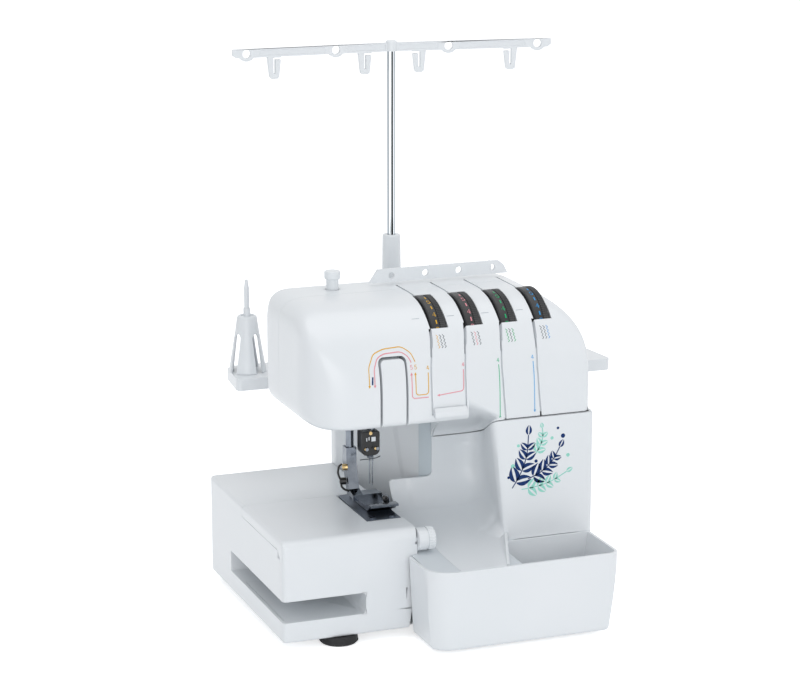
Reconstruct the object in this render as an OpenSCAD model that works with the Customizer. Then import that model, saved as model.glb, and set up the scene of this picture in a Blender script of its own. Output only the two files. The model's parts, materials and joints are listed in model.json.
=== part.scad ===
// Four-thread overlock sewing machine with free arm, trim bin and telescopic thread stand.
// Millimetres, +Z up, feet on Z = 0. The origin is the middle of the machine's outline on the table.

/* [Bed] */
// Length of the flat-bed block from its left face to the needle side
bed_w = 122; // [118:1:128]
// Depth of the bed block
bed_d = 217; // [212:1:226]
// Height of the sewing surface above the table
bed_z = 97.5; // [92:0.5:104]
// Lowest level of the sleeve slot under the free arm
slot_z = 26; // [22:1:30]
// Height of the sleeve slot
slot_h = 19; // [14:1:22]
// Length of the sleeve slot along the front
slot_w = 75; // [60:1:80]
// Depth of the sleeve slot from the front to its back end
slot_d = 150; // [135:1:160]
// Depth of the free arm, which the fabric tube goes round
arm_d = 115; // [105:1:120]

/* [Head] */
// Left end of the head, from the bed's left face
head_x = 29; // [22:1:36]
// Right side of the tower, from the bed's left face
tower_x = 291; // [288:1:298]
// Underside of the head
head_z = 184; // [176:1:192]
// Top of the head
head_top = 288; // [282:1:296]
// Front face of the head
head_y = 7; // [4:1:9]
// Back face of the head
head_back = 150; // [144:1:156]
// Depth at which the front and the rear housing meet
split_y = 100; // [96:1:104]
// Wall thickness of the plastic housings
wall = 3; // [2.5:0.1:3.4]

/* [Tension dials] */
// Radius of a tension dial
dial_r = 42; // [40:0.5:43]
// Width of a tension dial
dial_w = 14.4; // [12:0.2:16]
// Distance from one dial to the next
dial_pitch = 32.4; // [31:0.2:33.6]
// Left face of the first dial
dial_x = 147.3; // [144:0.5:150]

/* [Stitching] */
// Needle position along the bed
needle_x = 113; // [110:1:114]
// Needle position from the bed's front
needle_y = 90; // [86:1:92]
// Height of the needle tips above the sewing surface with the needle bar near its top
needle_lift = 13.5; // [12:0.5:18]
// Radius of the needle bar
needle_bar_r = 3.3; // [2.8:0.1:3.8]
// Radius of the presser bar
presser_bar_r = 3.8; // [3:0.1:4]
// Radius of the steel main shaft
shaft_r = 6; // [5:0.5:7]

/* [Front cover and trim bin] */
// Front face of the trim bin, measured forward from the bed's front
bin_out = 57; // [54:1:62]
// Height of the bin's rim
bin_z = 73.6; // [70:0.2:75]
// Wall thickness of the trim bin
bin_wall = 2.5; // [2:0.1:3]
// Angle that the front cover opens to
cover_open = 80; // [40:5:85]

/* [Thread stand] */
// Length of the spool tray
tray_w = 352; // [346:1:360]
// Top of the spool tray
tray_z = 190; // [188:1:194]
// Thickness of the spool tray
tray_t = 11; // [9:0.5:12]
// How far the spool tray stands out behind the bed
tray_reach = 35; // [31:1:43]
// Radius of the upper mast tube
mast_r = 4.1; // [3.5:0.1:4.5]
// Level of the thread bar's underside with the mast drawn out
bar_z = 478.5; // [440:0.5:490]
// Height of the thread bar
bar_h = 8; // [7:0.5:10]
// How far the mast pushes down
mast_travel = 150; // [100:5:150]

/* [Hidden] */

// running clearance of a shaft in a hole, clearance between covers, gap at a slide or a stop
fit = 0.05;
gap = 0.4;
play = 0.3;
// roundness of turned parts
$fn = 48;

// outline of the whole machine, whose middle is the origin
tray_x = 24;
tray_back = bed_d + tray_reach;
mid_x = (tray_x + tray_w) / 2;
mid_y = (tray_back - bin_out) / 2;

// rubber feet and base
foot_r = 17;
foot_z = 7.5;
floor_t = 3;
foot_back = bed_d - 27;
foot_places = [[54, 12], [54, foot_back], [250, 40], [250, foot_back], [150, 40]];
arm_z = slot_z + slot_h;
lean = 12;

// tower below the head
column_left = 120;
column_z = tray_z - tray_t;
front_y = head_y + 1;
crown_r = 80;
inner_x = tower_x - wall;

// tension dials: the rim stands a little out of the head's front curve
dial_y = 67.5;
dial_z = head_top - 44.4;
spindle_r = 3;

// front cover
tongue_x = 133;
tongue_y = 98;
tongue_z = bed_z + 14;
fascia_x = 172;
recess_x = 194;
recess_back_x = 221;
recess_r = 18;
shelf_step_x = 142;
shelf_step_y = 26;
shelf_right = 181;
shelf_t = 2.5;
lip_r = 2.5;
lip_y = -bin_out + bin_wall + lip_r + 1.2;
lip_z = bin_z - 0.6 - lip_r;
hinge_pin_r = 1.2;
shelf_left = 128;
swing_r = norm([head_y - lip_y, head_z - lip_z]) - gap;
ear_w = 3;
ear_x = [shelf_step_x + 4, shelf_right - 8];
seam_drop = 0.37;
seam_z = head_z - 1;
arc_end = front_y + 10;

// trim bin
bin_x = 113;
bin_right = 289;
bin_floor = 3;
bin_back = front_y - gap;
bin_back_x = 207;
bin_corner = 24;

// needle, presser and knives
presser_x = 97;
presser_y = 102;
needle_tip = bed_z + needle_lift;
clamp_z = needle_tip + 52;
clamp_h = 22;
guide_z = [200, 236];
presser_guide_z = [200, 262];
lifter_z = 214;
// sides, top and gap of the cover over the take-up lever, X and Z
lid_x = [94.2, 115.6];
lid_top = head_z + 60.8;
lid_gap = 2.1;
foot_lift = 0.3;
plate_t = 1.6;
plate_back = arm_d - gap;
plate_screw_x = [95.5, 114];
knife_x = 120.6;
lower_looper_x = 135;
upper_looper_x = 163;
looper_block_y = [62, 97];

// drive
shaft_y = 120;
shaft_z = 120;
upright_t = 6;
upright_x = [196, 270];
pulley_x = 278.5;
pulley_w = 8;
driven_r = 30;
motor_x = 212;
motor_w = 50;
motor_y = bed_d - 42;
motor_z = 55;
motor_pulley_r = 9;
motor_r = 27;
motor_nose = 8;
wheel_r = 34;
wheel_w = 17;

// right-hand controls
length_dial_y = 58;
length_dial_z = 120;
length_dial_r = 14;
differential_z = 82;
switch_y = bed_d - 16;
switch_z = 80;
inlet_z = 45;

// thread stand
mast_x = 185.7;
mast_y = bed_d + 14;
socket_r = 12;
socket_foot = 96;
socket_top = 308;
mast_foot = socket_foot + 5 + mast_travel;
arm_length = 152;
arm_bend = 7.5;
arm_t = 4;
eye_r = 3.6;
eye_at = [54, 139];
hook_at = [26, 113];
hook_w = 12;
hook_h = 20;
pin_x = [43, 126, 224, 284];
pin_y = bed_d + 12;
pin_r = 2.4;
pin_top = 276;
cone_h = 59;

// control knobs on the left
knob_y = 4;
knob_z = 86.4;
knob_r = 10;
knob_stem_r = 2.5;
pressure_x = 88.5;
pressure_y = 121;
pressure_r = 5.5;

// moves a part from the bed's front left corner to the frame of the whole machine
module centred() {
    translate([-mid_x, -mid_y, 0]) children();
}

// cylinder along X from x to x + w
module rod_x(x, y, z, r, w) {
    translate([x, y, z]) rotate([0, 90, 0]) cylinder(r = r, h = w);
}

// cylinder along Y from y to y + w
module rod_y(x, y, z, r, w) {
    translate([x, y, z]) rotate([-90, 0, 0]) cylinder(r = r, h = w);
}

// cylinder along Z from z to z + h
module rod_z(x, y, z, r, h) {
    translate([x, y, z]) cylinder(r = r, h = h);
}

// extrudes an outline drawn as [Y, Z] along X from x0 to x1
module along_x(x0, x1) {
    translate([x0, 0, 0]) rotate([90, 0, 90]) linear_extrude(x1 - x0) children();
}

// extrudes an outline drawn as [X, Z] along Y from y0 to y1
module along_y(y0, y1) {
    translate([0, y1, 0]) rotate([90, 0, 0]) linear_extrude(y1 - y0) children();
}

// extrudes an outline drawn as [X, Y] along Z from z0 to z1
module along_z(z0, z1) {
    translate([0, 0, z0]) linear_extrude(z1 - z0) children();
}

// box between two corners
module slab(a, b) {
    translate(a) cube([b[0] - a[0], b[1] - a[1], b[2] - a[2]]);
}

// rectangle with rounded corners between two corners
module round_rect(a, b, r) {
    translate([a[0] + r, a[1]]) square([b[0] - a[0] - 2 * r, b[1] - a[1]]);
    translate([a[0], a[1] + r]) square([b[0] - a[0], b[1] - a[1] - 2 * r]);
    for (x = [a[0] + r, b[0] - r], y = [a[1] + r, b[1] - r]) translate([x, y]) circle(r);
}

// quarter of a superellipse about a centre; a runs 0..90 degrees
function quarter(centre, rx, ry, power, steps) = [for (i = [0:steps])
    let (a = 90 * i / steps)
    [centre[0] + rx * pow(abs(cos(a)), 2 / power), centre[1] + ry * pow(abs(sin(a)), 2 / power)]];

// ---------------------------------------------------------------- housings

// rectangle whose corners are rounded, each with its own radius, from the lower left anticlockwise
module soft_rect(a, b, radii) {
    corner = [[a[0], a[1], 1, 1], [b[0], a[1], -1, 1], [b[0], b[1], -1, -1], [a[0], b[1], 1, -1]];
    difference() {
        translate(a) square([b[0] - a[0], b[1] - a[1]]);
        for (i = [0:3]) if (radii[i] > 0) let (c = corner[i], r = radii[i])
            difference() {
                translate([c[0] + (c[2] > 0 ? -1 : -r), c[1] + (c[3] > 0 ? -1 : -r)]) square(r + 1);
                translate([c[0] + c[2] * r, c[1] + c[3] * r]) circle(r, $fn = 96);
            }
    }
}

// head in side view, drawn as [Y, Z]: the front leans back into the top
module head_side(t) {
    soft_rect([head_y + t, head_z + t], [head_back - t, head_top - t], [0, 0, 14 - t, crown_r - t]);
}

// head in plan, drawn as [X, Y]: a full left end and a tight right end
module head_plan(t) {
    soft_rect([head_x + t, head_y + t], [tower_x - t, head_back - t], [46 - t, 10 - t, 0, 24 - t]);
}

// head from the front, drawn as [X, Z]: a round left shoulder and a wide right one
module head_front(t) {
    soft_rect([head_x + t, head_z + t], [tower_x - t, head_top - t], [20 - t, 0, 58 - t, 27 - t]);
}

// solid form of the head, drawn in by t on every side
module head_form(t) {
    intersection() {
        along_x(head_x, tower_x) head_side(t);
        along_z(head_z - 1, head_top + 1) head_plan(t);
        along_y(head_y, head_back) head_front(t);
    }
}

// inner side of the sewing space, drawn as [X, Y]: from the front panel round to the tongue
module recess_plan(left) {
    bend = quarter([recess_back_x - recess_r, tongue_y - recess_r], recess_r, recess_r, 2, 12);
    nose = quarter([recess_x + 12, front_y + 12], -12, -12, 2, 8);
    polygon(concat([[tower_x, front_y + 2], [tower_x - 2, front_y]],
        [for (i = [len(nose) - 1:-1:0]) nose[i]], bend, [[left, tongue_y], [left, tongue_y + 40], [tower_x, tongue_y + 40]]));
}

// curved sheet that stands along the recess
module recess_sheet(left, t) {
    difference() {
        recess_plan(left);
        translate([1.3 * t, t]) recess_plan(left - 2 * t);
        translate([left - 1, tongue_y + t]) square([tower_x - left + 2, 60]);
    }
}

// parting line of the front cover: an arc about the hinge, then a straight fall to the rear
function seam_edge(y) = y < arc_end
    ? lip_z + sqrt(pow(swing_r + gap, 2) - pow(y - lip_y, 2))
    : seam_edge(arc_end - 0.01) - seam_drop * (y - arc_end);

// everything above the parting line, drawn as [Y, Z]
module above_seam(lift) {
    back = tongue_y + 10;
    polygon(concat([[front_y - 20, seam_edge(front_y) + lift]],
        [for (y = [front_y:2:arc_end]) [y, seam_edge(y) + lift]],
        [[back, seam_edge(back) + lift], [back, head_top], [front_y - 20, head_top]]));
}

// holes for the thread slits, dials and levers in the head's front
module head_cuts() {
    for (i = [0:3]) rod_x(dial_x + i * dial_pitch - 0.6, dial_y, dial_z, dial_r + 0.8, dial_w + 1.2);
    slab([lid_x[0] - lid_gap, 0, head_z - 1], [lid_x[1] + lid_gap, 32, lid_top + lid_gap]);
    rod_z(presser_x, presser_y, head_z - 1, presser_bar_r + 1, wall + 3);
    slab([needle_x - 13, needle_y - 9, head_z - 1], [needle_x + 13, needle_y + 9, head_z + wall + 2]);
    slab([56, 48, head_z - 1], [84, 72, head_z + wall + 2]);
}

module front_housing() {
    color("whitesmoke") centred() {
        difference() {
            head_form(0);
            head_form(wall);
            head_cuts();
            slab([0, split_y - gap / 2, head_z - 5], [tower_x + 5, head_back + 5, head_top + 5]);
            slab([recess_back_x + 5, front_y + wall, head_z - 1], [inner_x, split_y, head_z + wall + 1]);
        }
        intersection() {
            along_z(seam_z - 60, head_z + 1) recess_sheet(fascia_x, wall);
            along_x(fascia_x, tower_x - 12) above_seam(0);
            slab([fascia_x, front_y - 0.1, seam_z - 60], [tower_x - 12, tongue_y + wall, head_z + 1]);
        }
    }
}

// tower behind the sewing space, drawn as [X, Y]
module column_plan(t) {
    polygon([[column_left + t, bed_d - t], [column_left + t, bed_d - 12], [150 + t, 152],
        [165 + t, split_y + gap / 2 + 3], [inner_x, split_y + gap / 2 + 3], [inner_x, bed_d - t]]);
}

module rear_housing() {
    color("whitesmoke") centred() {
        difference() {
            head_form(0);
            head_form(wall);
            slab([0, -5, head_z - 5], [tower_x + 5, split_y + gap / 2, head_top + 5]);
            slab([170, split_y, head_z - 1], [inner_x, head_back - wall, head_z + wall + 1]);
            rod_y(presser_x, head_back - wall - 1, lifter_z, 5, wall + 2);
            rod_z(presser_x, presser_y, head_z - 1, presser_bar_r + 1, wall + 3);
            rod_z(pressure_x, pressure_y, head_top - 10, pressure_r + gap, 20);
        }
        difference() {
            along_z(foot_z + floor_t, column_z) column_plan(0);
            along_z(foot_z, column_z - wall) column_plan(wall);
            slab([fascia_x + 8, split_y, foot_z], [tower_x, split_y + wall + 6, column_z + 1]);
            slab([170, split_y, column_z - wall - 1], [inner_x, head_back - wall, column_z + 1]);
            for (i = [0:5]) slab([200 + 12 * i, bed_d - wall - 1, 30], [205 + 12 * i, bed_d + 1, 62]);
        }
        difference() {
            slab([150, split_y + gap / 2 + 3, column_z - wall], [inner_x, head_back, head_z]);
            slab([150 + wall, split_y, column_z - wall - 1], [inner_x + 1, head_back - wall, head_z + 1]);
        }
    }
}

module right_side_cover() {
    color("whitesmoke") centred() difference() {
        union() {
            slab([inner_x + gap / 2, front_y + wall + gap, foot_z + floor_t], [tower_x, bed_d, column_z]);
            slab([inner_x + gap / 2, front_y + wall + gap, column_z - 1],
                [tower_x, head_back, head_z - gap / 2]);
        }
        rod_x(inner_x - 1, shaft_y, shaft_z, shaft_r + 2, wall + 3);
        rod_x(inner_x - 1, length_dial_y, length_dial_z, 3.5, wall + 3);
        rod_x(inner_x - 1, length_dial_y, differential_z, 3.5, wall + 3);
        slab([inner_x - 1, switch_y - 8, switch_z - 11], [tower_x + 1, switch_y + 8, switch_z + 11]);
        slab([inner_x - 1, switch_y - 13, inlet_z - 10], [tower_x + 1, switch_y + 13, inlet_z + 10]);
    }
}

// ---------------------------------------------------------------- base and bed

module base_tray() {
    color("gainsboro") centred() difference() {
        union() {
            slab([wall + gap, 0, foot_z], [slot_w + wall, arm_d, slot_z]);
            slab([slot_w, 0, foot_z], [bed_w - lean, wall, slot_z]);
            slab([slot_w, 0, foot_z], [bed_w - lean, arm_d, foot_z + floor_t]);
            slab([wall + gap, arm_d - 1, foot_z], [column_left, bed_d - wall - gap, foot_z + floor_t]);
            slab([bed_w - lean - 1, front_y, foot_z], [tower_x, bed_d, foot_z + floor_t]);
        }
        slab([2 * wall + gap, wall, foot_z + floor_t], [slot_w, arm_d + 1, slot_z - wall]);
        for (p = foot_places) rod_z(p[0], p[1], foot_z - 1, 3, floor_t + 2);
    }
}

module rubber_feet() {
    color([0.06, 0.06, 0.07]) centred() for (p = foot_places) translate([p[0], p[1], 0])
        rotate_extrude() polygon([[0, 0], [foot_r - 1.5, 0], [foot_r, 1.5], [foot_r - 1, foot_z],
            [2.9, foot_z], [2.9, foot_z + floor_t], [0, foot_z + floor_t]]);
}

// free arm and front of the bed in side view, drawn as [Y, Z]: a round front edge
module arm_side(t) {
    edge = quarter([9, bed_z - 9], t - 9, 9 - t, 2, 10);
    polygon(concat([[t, arm_z + t]], edge, [[arm_d - t, bed_z - t], [arm_d - t, arm_z + t]]));
}

// right side of the bed leans in towards the foot, drawn as [X, Z]
module bed_front(t) {
    polygon([[wall + gap + t, 0], [bed_w - lean - t, 0], [bed_w - t, bed_z + 1],
        [wall + gap + t, bed_z + 1]]);
}

module free_arm_cover() {
    color("whitesmoke") centred() difference() {
        union() {
            intersection() {
                along_x(wall + gap, bed_w) arm_side(0);
                along_y(0, arm_d) bed_front(0);
            }
            slab([slot_w, 0, slot_z], [bed_w - lean + 2, wall, arm_z + 1]);
            slab([slot_w, 0, slot_z], [slot_w + wall, arm_d, arm_z + 1]);
            along_x(0, wall + gap + 1) polygon(concat([[8, 81]], quarter([9, bed_z - 9], -9, 9, 2, 10),
                [[arm_d, bed_z], [arm_d, 88], [14, 88]]));
        }
        intersection() {
            along_x(2 * wall + gap, bed_w + 5) arm_side(wall);
            along_y(0, arm_d) bed_front(wall);
        }
        slab([slot_w + wall, wall, slot_z - 1], [bed_w + 5, arm_d - wall, bed_z - wall]);
        slab([88, 33, bed_z - plate_t - gap], [bed_w + 5, arm_d + 1, bed_z + 1]);
        for (x = plate_screw_x) rod_z(x, 40, bed_z - 9, 1.75, 9);
        slab([92, 50, bed_z - 10], [bed_w + 5, 110, bed_z + 1]);
        slab([bed_w - lean - wall - 2, 58, arm_z - 20], [bed_w + 5, 110, bed_z + 1]);
        rod_x(bed_w - 14, knob_y, knob_z, knob_stem_r + play / 2, 20);
    }
}

// bed attachment in plan with a rounded rear corner, drawn as [X, Y]
module attachment_plan(x0, y0) {
    corner = 9;
    polygon(concat([[x0, y0]], quarter([corner, bed_d - corner], x0 - corner, corner, 2, 8),
        [[column_left - gap, bed_d], [column_left - gap, y0]]));
}

module flat_bed_attachment() {
    arm_back = arm_d + gap;
    bottom = foot_z + floor_t + gap;
    color("whitesmoke") centred() difference() {
        union() {
            difference() {
                union() {
                    along_z(foot_z + 0.5, 88 - gap) intersection() {
                        attachment_plan(0, 14);
                        square([wall, bed_d]);
                    }
                    slab([0, 8, foot_z + 0.5], [wall, 15, 81]);
                    along_z(bottom, bed_z) attachment_plan(0, arm_back);
                }
                slab([wall, arm_back + wall, bottom + wall],
                    [column_left - gap - wall, bed_d - wall, bed_z - wall]);
            }
            slab([wall, arm_back, slot_z - wall], [slot_w + wall, slot_d + wall, arm_z + wall]);
        }
        slab([-1, 0, slot_z], [slot_w, slot_d, arm_z]);
    }
}

module needle_plate() {
    z = bed_z - plate_t;
    color([0.36, 0.38, 0.42]) centred() difference() {
        along_z(z, bed_z) polygon([[88.4, 34.4], [120, 34.4], [120, 59], [121.6, 61],
            [121.6, plate_back - 2.6], [119, plate_back], [92, plate_back], [90, plate_back - 2]]);
        slab([needle_x - 3, needle_y - 8, z - 1], [needle_x + 4.5, needle_y + 2, bed_z + 1]);
        for (x = [98.2, 104.2]) slab([x, 62, z - 1], [x + 4.6, 104, bed_z + 1]);
        for (x = plate_screw_x) rod_z(x, 40, z - 1, 1.7, plate_t + 2);
        slab([118.4, 64, z - 1], [124, 100, bed_z + 1]);
    }
}

module plate_screws() {
    z = bed_z - plate_t;
    color("silver") centred() for (x = plate_screw_x) difference() {
        union() {
            rod_z(x, 40, z - 6, 1.6, plate_t + 6);
            rod_z(x, 40, bed_z, 2.8, 0.9);
        }
        slab([x - 3, 39.6, bed_z + 0.4], [x + 3, 40.4, bed_z + 1]);
    }
}

module lower_knife() {
    color("silver") centred() {
        slab([knife_x - 1.8, 66, 60], [knife_x, 82, bed_z - 0.2]);
        slab([knife_x - 6.6, 66, 60], [knife_x - 1, 82, 68]);
    }
}

module feed_dogs() {
    z = bed_z - 0.5;
    color("silver") centred() {
        for (x = [98.8, 104.8]) {
            slab([x, 65, z - 9], [x + 3.4, 101, z - 1.2]);
            for (i = [0:17]) along_x(x, x + 3.4) polygon([[65 + 2 * i, z - 1.3], [67 + 2 * i, z - 1.3],
                [66.6 + 2 * i, z]]);
        }
        slab([98.8, 64, z - 15], [108.2, 102, z - 9]);
        slab([99, 50, z - 15], [104, 64, z - 11]);
    }
}

// ---------------------------------------------------------------- frame

module main_frame() {
    color("lightslategray") centred() difference() {
        union() {
            for (x = upright_x) along_x(x, x + upright_t) polygon([[50, 12], [foot_back, 12],
                [foot_back, bed_d - 45],
                [142, bed_d - 45], [142, 258], [118, 260], [62, 260], [46, 240], [60, 191], [106, 191],
                [106, 68], [84, 60]]);
            slab([84, 50, foot_z + floor_t], [130, 112, 15]);
            slab([129, 50, foot_z + floor_t], [282, 101, 15]);
            slab([171, 100, foot_z + floor_t], [282, bed_d - 17, 15]);
            slab([62, 122, 192], [272, 129, 262]);
            slab([166, 60, dial_z - 9], [172, 123, dial_z + 9]);
            slab([134, 53, 207], [139, 123, 221]);
            for (z = guide_z) slab([needle_x - 8, needle_y - 8, z], [needle_x + 8, 123, z + 9]);
            for (z = presser_guide_z) slab([presser_x - 7, presser_y - 6, z], [presser_x + 6, 123, z + 9]);
            for (y = looper_block_y) slab([lower_looper_x - 5, y, 14], [lower_looper_x + 5, y + 5.5, 52]);
            for (y = looper_block_y) slab([upper_looper_x - 5, y, 14], [upper_looper_x + 5, y + 5.5, 59]);
            slab([98, 50, 14], [104.5, 62, bed_z - 15.5 - play]);
            slab([112, 66, 14], [knife_x, 82, 60]);
            slab([knife_x + 2.7, 66, 14], [knife_x + 8, 82, 50]);
        }
        rod_x(130, 60, 214, 4 + fit, 12);
        rod_y(presser_x, 110, lifter_z, 4.6 + fit, 20);
        rod_x(160, dial_y, dial_z, spindle_r + fit / 2, 125);
        rod_z(needle_x, needle_y, 190, needle_bar_r + fit, 100);
        rod_z(presser_x, presser_y, 190, presser_bar_r + fit, 100);
        rod_x(upright_x[0] - 5, shaft_y, shaft_z, shaft_r + 4 + fit, upright_x[1] - upright_x[0] + 20);
        rod_x(motor_x + motor_w, motor_y, motor_z, 12, 20);
        rod_y(lower_looper_x, 60, 45, 3 + fit, 50);
        rod_y(upper_looper_x, 60, 52, 3 + fit, 50);
    }
}

module shaft_bearings() {
    color("goldenrod") centred() for (x = upright_x) difference() {
        rod_x(x - 1, shaft_y, shaft_z, shaft_r + 4, upright_t + 2);
        rod_x(x - 2, shaft_y, shaft_z, shaft_r + fit, upright_t + 4);
    }
}

module main_shaft() {
    color("silver") centred() {
        rod_x(178, shaft_y, shaft_z, shaft_r, tower_x + 1 - 178 + wheel_w - 4);
        for (i = [0:2]) rod_x(180 + i * 28 + (i > 0 ? 6 : 0), shaft_y + 4 * cos(120 * i),
            shaft_z + 4 * sin(120 * i), 13, 10);
    }
}

module driven_pulley() {
    color([0.2, 0.2, 0.22]) centred() difference() {
        union() {
            rod_x(pulley_x, shaft_y, shaft_z, driven_r, pulley_w);
            rod_x(pulley_x - 0.5, shaft_y, shaft_z, driven_r + 2, 1);
            rod_x(pulley_x + pulley_w - 0.5, shaft_y, shaft_z, driven_r + 2, 1);
        }
        rod_x(pulley_x - 1, shaft_y, shaft_z, shaft_r + 0.01, pulley_w + 2);
        for (i = [0:4]) rod_x(pulley_x - 1, shaft_y + 18 * cos(72 * i), shaft_z + 18 * sin(72 * i), 5,
            pulley_w + 2);
    }
}

module handwheel() {
    x = tower_x + 1;
    color("whitesmoke") centred() difference() {
        translate([x, shaft_y, shaft_z]) rotate([0, 90, 0]) rotate_extrude($fn = 72)
            polygon([[0, 0], [wheel_r - 2, 0], [wheel_r, 2], [wheel_r, wheel_w - 3],
                [wheel_r - 3, wheel_w], [wheel_r - 7, wheel_w], [wheel_r - 9, wheel_w - 3],
                [10, wheel_w - 3], [9, wheel_w - 1], [0, wheel_w - 1]]);
        rod_x(x - 1, shaft_y, shaft_z, shaft_r + 0.01, wheel_w - 3);
        for (i = [0:35]) rod_x(x - 1, shaft_y + (wheel_r + 0.9) * cos(10 * i),
            shaft_z + (wheel_r + 0.9) * sin(10 * i), 1.6, wheel_w + 2);
    }
}

module motor() {
    color("dimgray") centred() {
        rod_x(motor_x, motor_y, motor_z, motor_r, motor_w);
        rod_x(motor_x + motor_w, motor_y, motor_z, 11, motor_nose);
        rod_x(motor_x - 6, motor_y, motor_z, 10, 6);
        slab([motor_x + 4, motor_y - 14, 15], [motor_x + motor_w - 4, motor_y + 14, motor_z - 18]);
    }
}

module motor_pulley() {
    color([0.2, 0.2, 0.22]) centred() {
        rod_x(pulley_x, motor_y, motor_z, motor_pulley_r, pulley_w);
        rod_x(pulley_x - 1, motor_y, motor_z, motor_pulley_r + 2, 1);
        rod_x(pulley_x + pulley_w, motor_y, motor_z, motor_pulley_r + 2, 0.8);
        rod_x(motor_x + motor_w + motor_nose + gap, motor_y, motor_z, 3,
            pulley_x - motor_x - motor_w - motor_nose - gap);
    }
}

// band round the two pulleys, drawn as [Y, Z]
module belt_outline(extra) {
    big = driven_r + extra;
    small = motor_pulley_r + extra;
    span = [motor_y - shaft_y, motor_z - shaft_z];
    reach = norm(span);
    turn = atan2(span[1], span[0]);
    open = acos((driven_r - motor_pulley_r) / reach);
    translate([shaft_y, shaft_z]) circle(big);
    translate([motor_y, motor_z]) circle(small);
    polygon([for (k = [[big, 1, 0], [small, 1, 1], [small, -1, 1], [big, -1, 0]])
        let (a = turn + k[1] * open)
        [shaft_y + k[2] * span[0] + k[0] * cos(a), shaft_z + k[2] * span[1] + k[0] * sin(a)]]);
}

module drive_belt() {
    color([0.1, 0.1, 0.1]) centred() along_x(pulley_x + 1.2, pulley_x + pulley_w - 1.2) difference() {
        belt_outline(1.6);
        belt_outline(play);
    }
}

// ---------------------------------------------------------------- needle, presser and loopers

module needle_bar() {
    color("silver") centred() rod_z(needle_x, needle_y, clamp_z - 12, needle_bar_r, 282 - clamp_z);
}

module needle_clamp() {
    color([0.1, 0.1, 0.11]) centred() difference() {
        along_z(clamp_z - clamp_h, clamp_z) round_rect([needle_x - 11, needle_y - 7],
            [needle_x + 8, needle_y + 6], 3);
        rod_z(needle_x, needle_y, clamp_z - 12.1, needle_bar_r + 0.01, 13);
        for (i = [-1, 1]) rod_z(needle_x + i * 1.3, needle_y, clamp_z - clamp_h - 1, 0.81, 10);
        for (i = [-1, 1]) rod_y(needle_x - 1.5 + i * 5, needle_y - 8, clamp_z - clamp_h + 6, 1.6, 3);
    }
}

module needles() {
    color("silver") centred() {
        for (i = [-1, 1]) translate([needle_x + i * 1.3, needle_y, needle_tip + (i < 0 ? 1.5 : 0)]) {
            cylinder(r1 = 0.1, r2 = 0.5, h = 3);
            translate([0, 0, 3]) cylinder(r = 0.5, h = 22);
        }
        for (i = [-1, 1]) rod_z(needle_x + i * 1.3, needle_y, clamp_z - clamp_h - 7, 0.8, 14);
        for (i = [-1, 1]) rod_y(needle_x - 1.5 + i * 5, needle_y - 7.6, clamp_z - clamp_h + 6, 1.5, 2);
    }
}

module presser_bar() {
    color("silver") centred() {
        rod_z(presser_x, presser_y, 133, presser_bar_r, 141);
        slab([presser_x - 6, presser_y - 5, 224], [presser_x + 6, presser_y + 12, 232]);
    }
}

module presser_spring() {
    color("silver") centred() difference() {
        rod_z(presser_x, presser_y, 232.3, presser_bar_r + 2, 29);
        rod_z(presser_x, presser_y, 232, presser_bar_r + 0.4, 30);
    }
}

module presser_foot() {
    z = bed_z + foot_lift;
    color("silver") centred() difference() {
        union() {
            along_x(presser_x - 4.8, presser_x + 4.8) polygon([[presser_y - 5, 146], [presser_y + 5, 146],
                [presser_y + 5, 131], [presser_y - 2, 112], [presser_y - 6, z + 6], [presser_y - 22, z + 6],
                [presser_y - 22, z + 9], [presser_y - 12, z + 12], [presser_y - 5, 132]]);
            slab([presser_x - 4.5, presser_y - 22, z + 4], [knife_x - 1, presser_y - 18, z + 9]);
            difference() {
                along_x(98, 124) polygon([[50, z + 5], [52, z + 6], [60, z], [106, z], [108, z + 2],
                    [108, z + 4.2], [66, z + 4.2], [58, z + 7], [50, z + 7]]);
                slab([needle_x - 5, needle_y - 10, z - 1], [needle_x + 6, needle_y + 8, z + 10]);
                slab([knife_x - 0.4, 65, z - 1], [125, 85, z + 10]);
            }
        }
        rod_z(presser_x, presser_y, 133, presser_bar_r + 0.02, 20);
    }
}

module presser_lifter() {
    z = lifter_z;
    color("whitesmoke") centred() {
        rod_y(presser_x, presser_y + 7, z, 4.6, head_back + 6 - presser_y);
        along_y(presser_y + 7, presser_y + 12) polygon([[presser_x, z - 4.6], [presser_x + 11.6, z + 3],
            [presser_x + 12.8, z + 7], [presser_x + 10.5, z + 8.4], [presser_x, z + 8.4],
            [presser_x - 4.6, z]]);
        slab([presser_x - 6, head_back + 2, z - 21], [presser_x + 17, head_back + 8, z + 6]);
    }
}

module take_up_cover() {
    color("whitesmoke") centred() {
        intersection() {
            difference() {
                head_form(0);
                head_form(wall);
            }
            slab([lid_x[0], 0, head_z], [lid_x[1], 31.4, lid_top]);
        }
        slab([lid_x[0] + 4, 24, head_z + wall], [lid_x[1] - 4, 38, head_z + wall + 2.5]);
    }
}

module take_up_lever() {
    color("silver") centred() {
        rod_x(114, 60, 214, 4, 26);
        slab([114, 26, 211], [116, 62, 217]);
        slab([114, 20, 212], [116, 27, 226]);
    }
}

module upper_looper() {
    y = needle_y + 3;
    color("silver") centred() {
        rod_y(upper_looper_x, 62, 52, 3, 40.5);
        along_y(y, y + 3) polygon([[160, 46], [167, 48], [166, 56], [140, 76], [131, 89], [128, 91],
            [127.4, 88], [134, 72], [158, 52]]);
    }
}

module lower_looper() {
    y = needle_y - 6;
    color("silver") centred() {
        rod_y(lower_looper_x, 62, 45, 3, 40.5);
        along_y(y, y + 3) polygon([[131, 42], [139, 42], [138, 50], [130, 74], [120, 84], [112, 88],
            [111, 86], [119, 79], [127, 66]]);
    }
}

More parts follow.
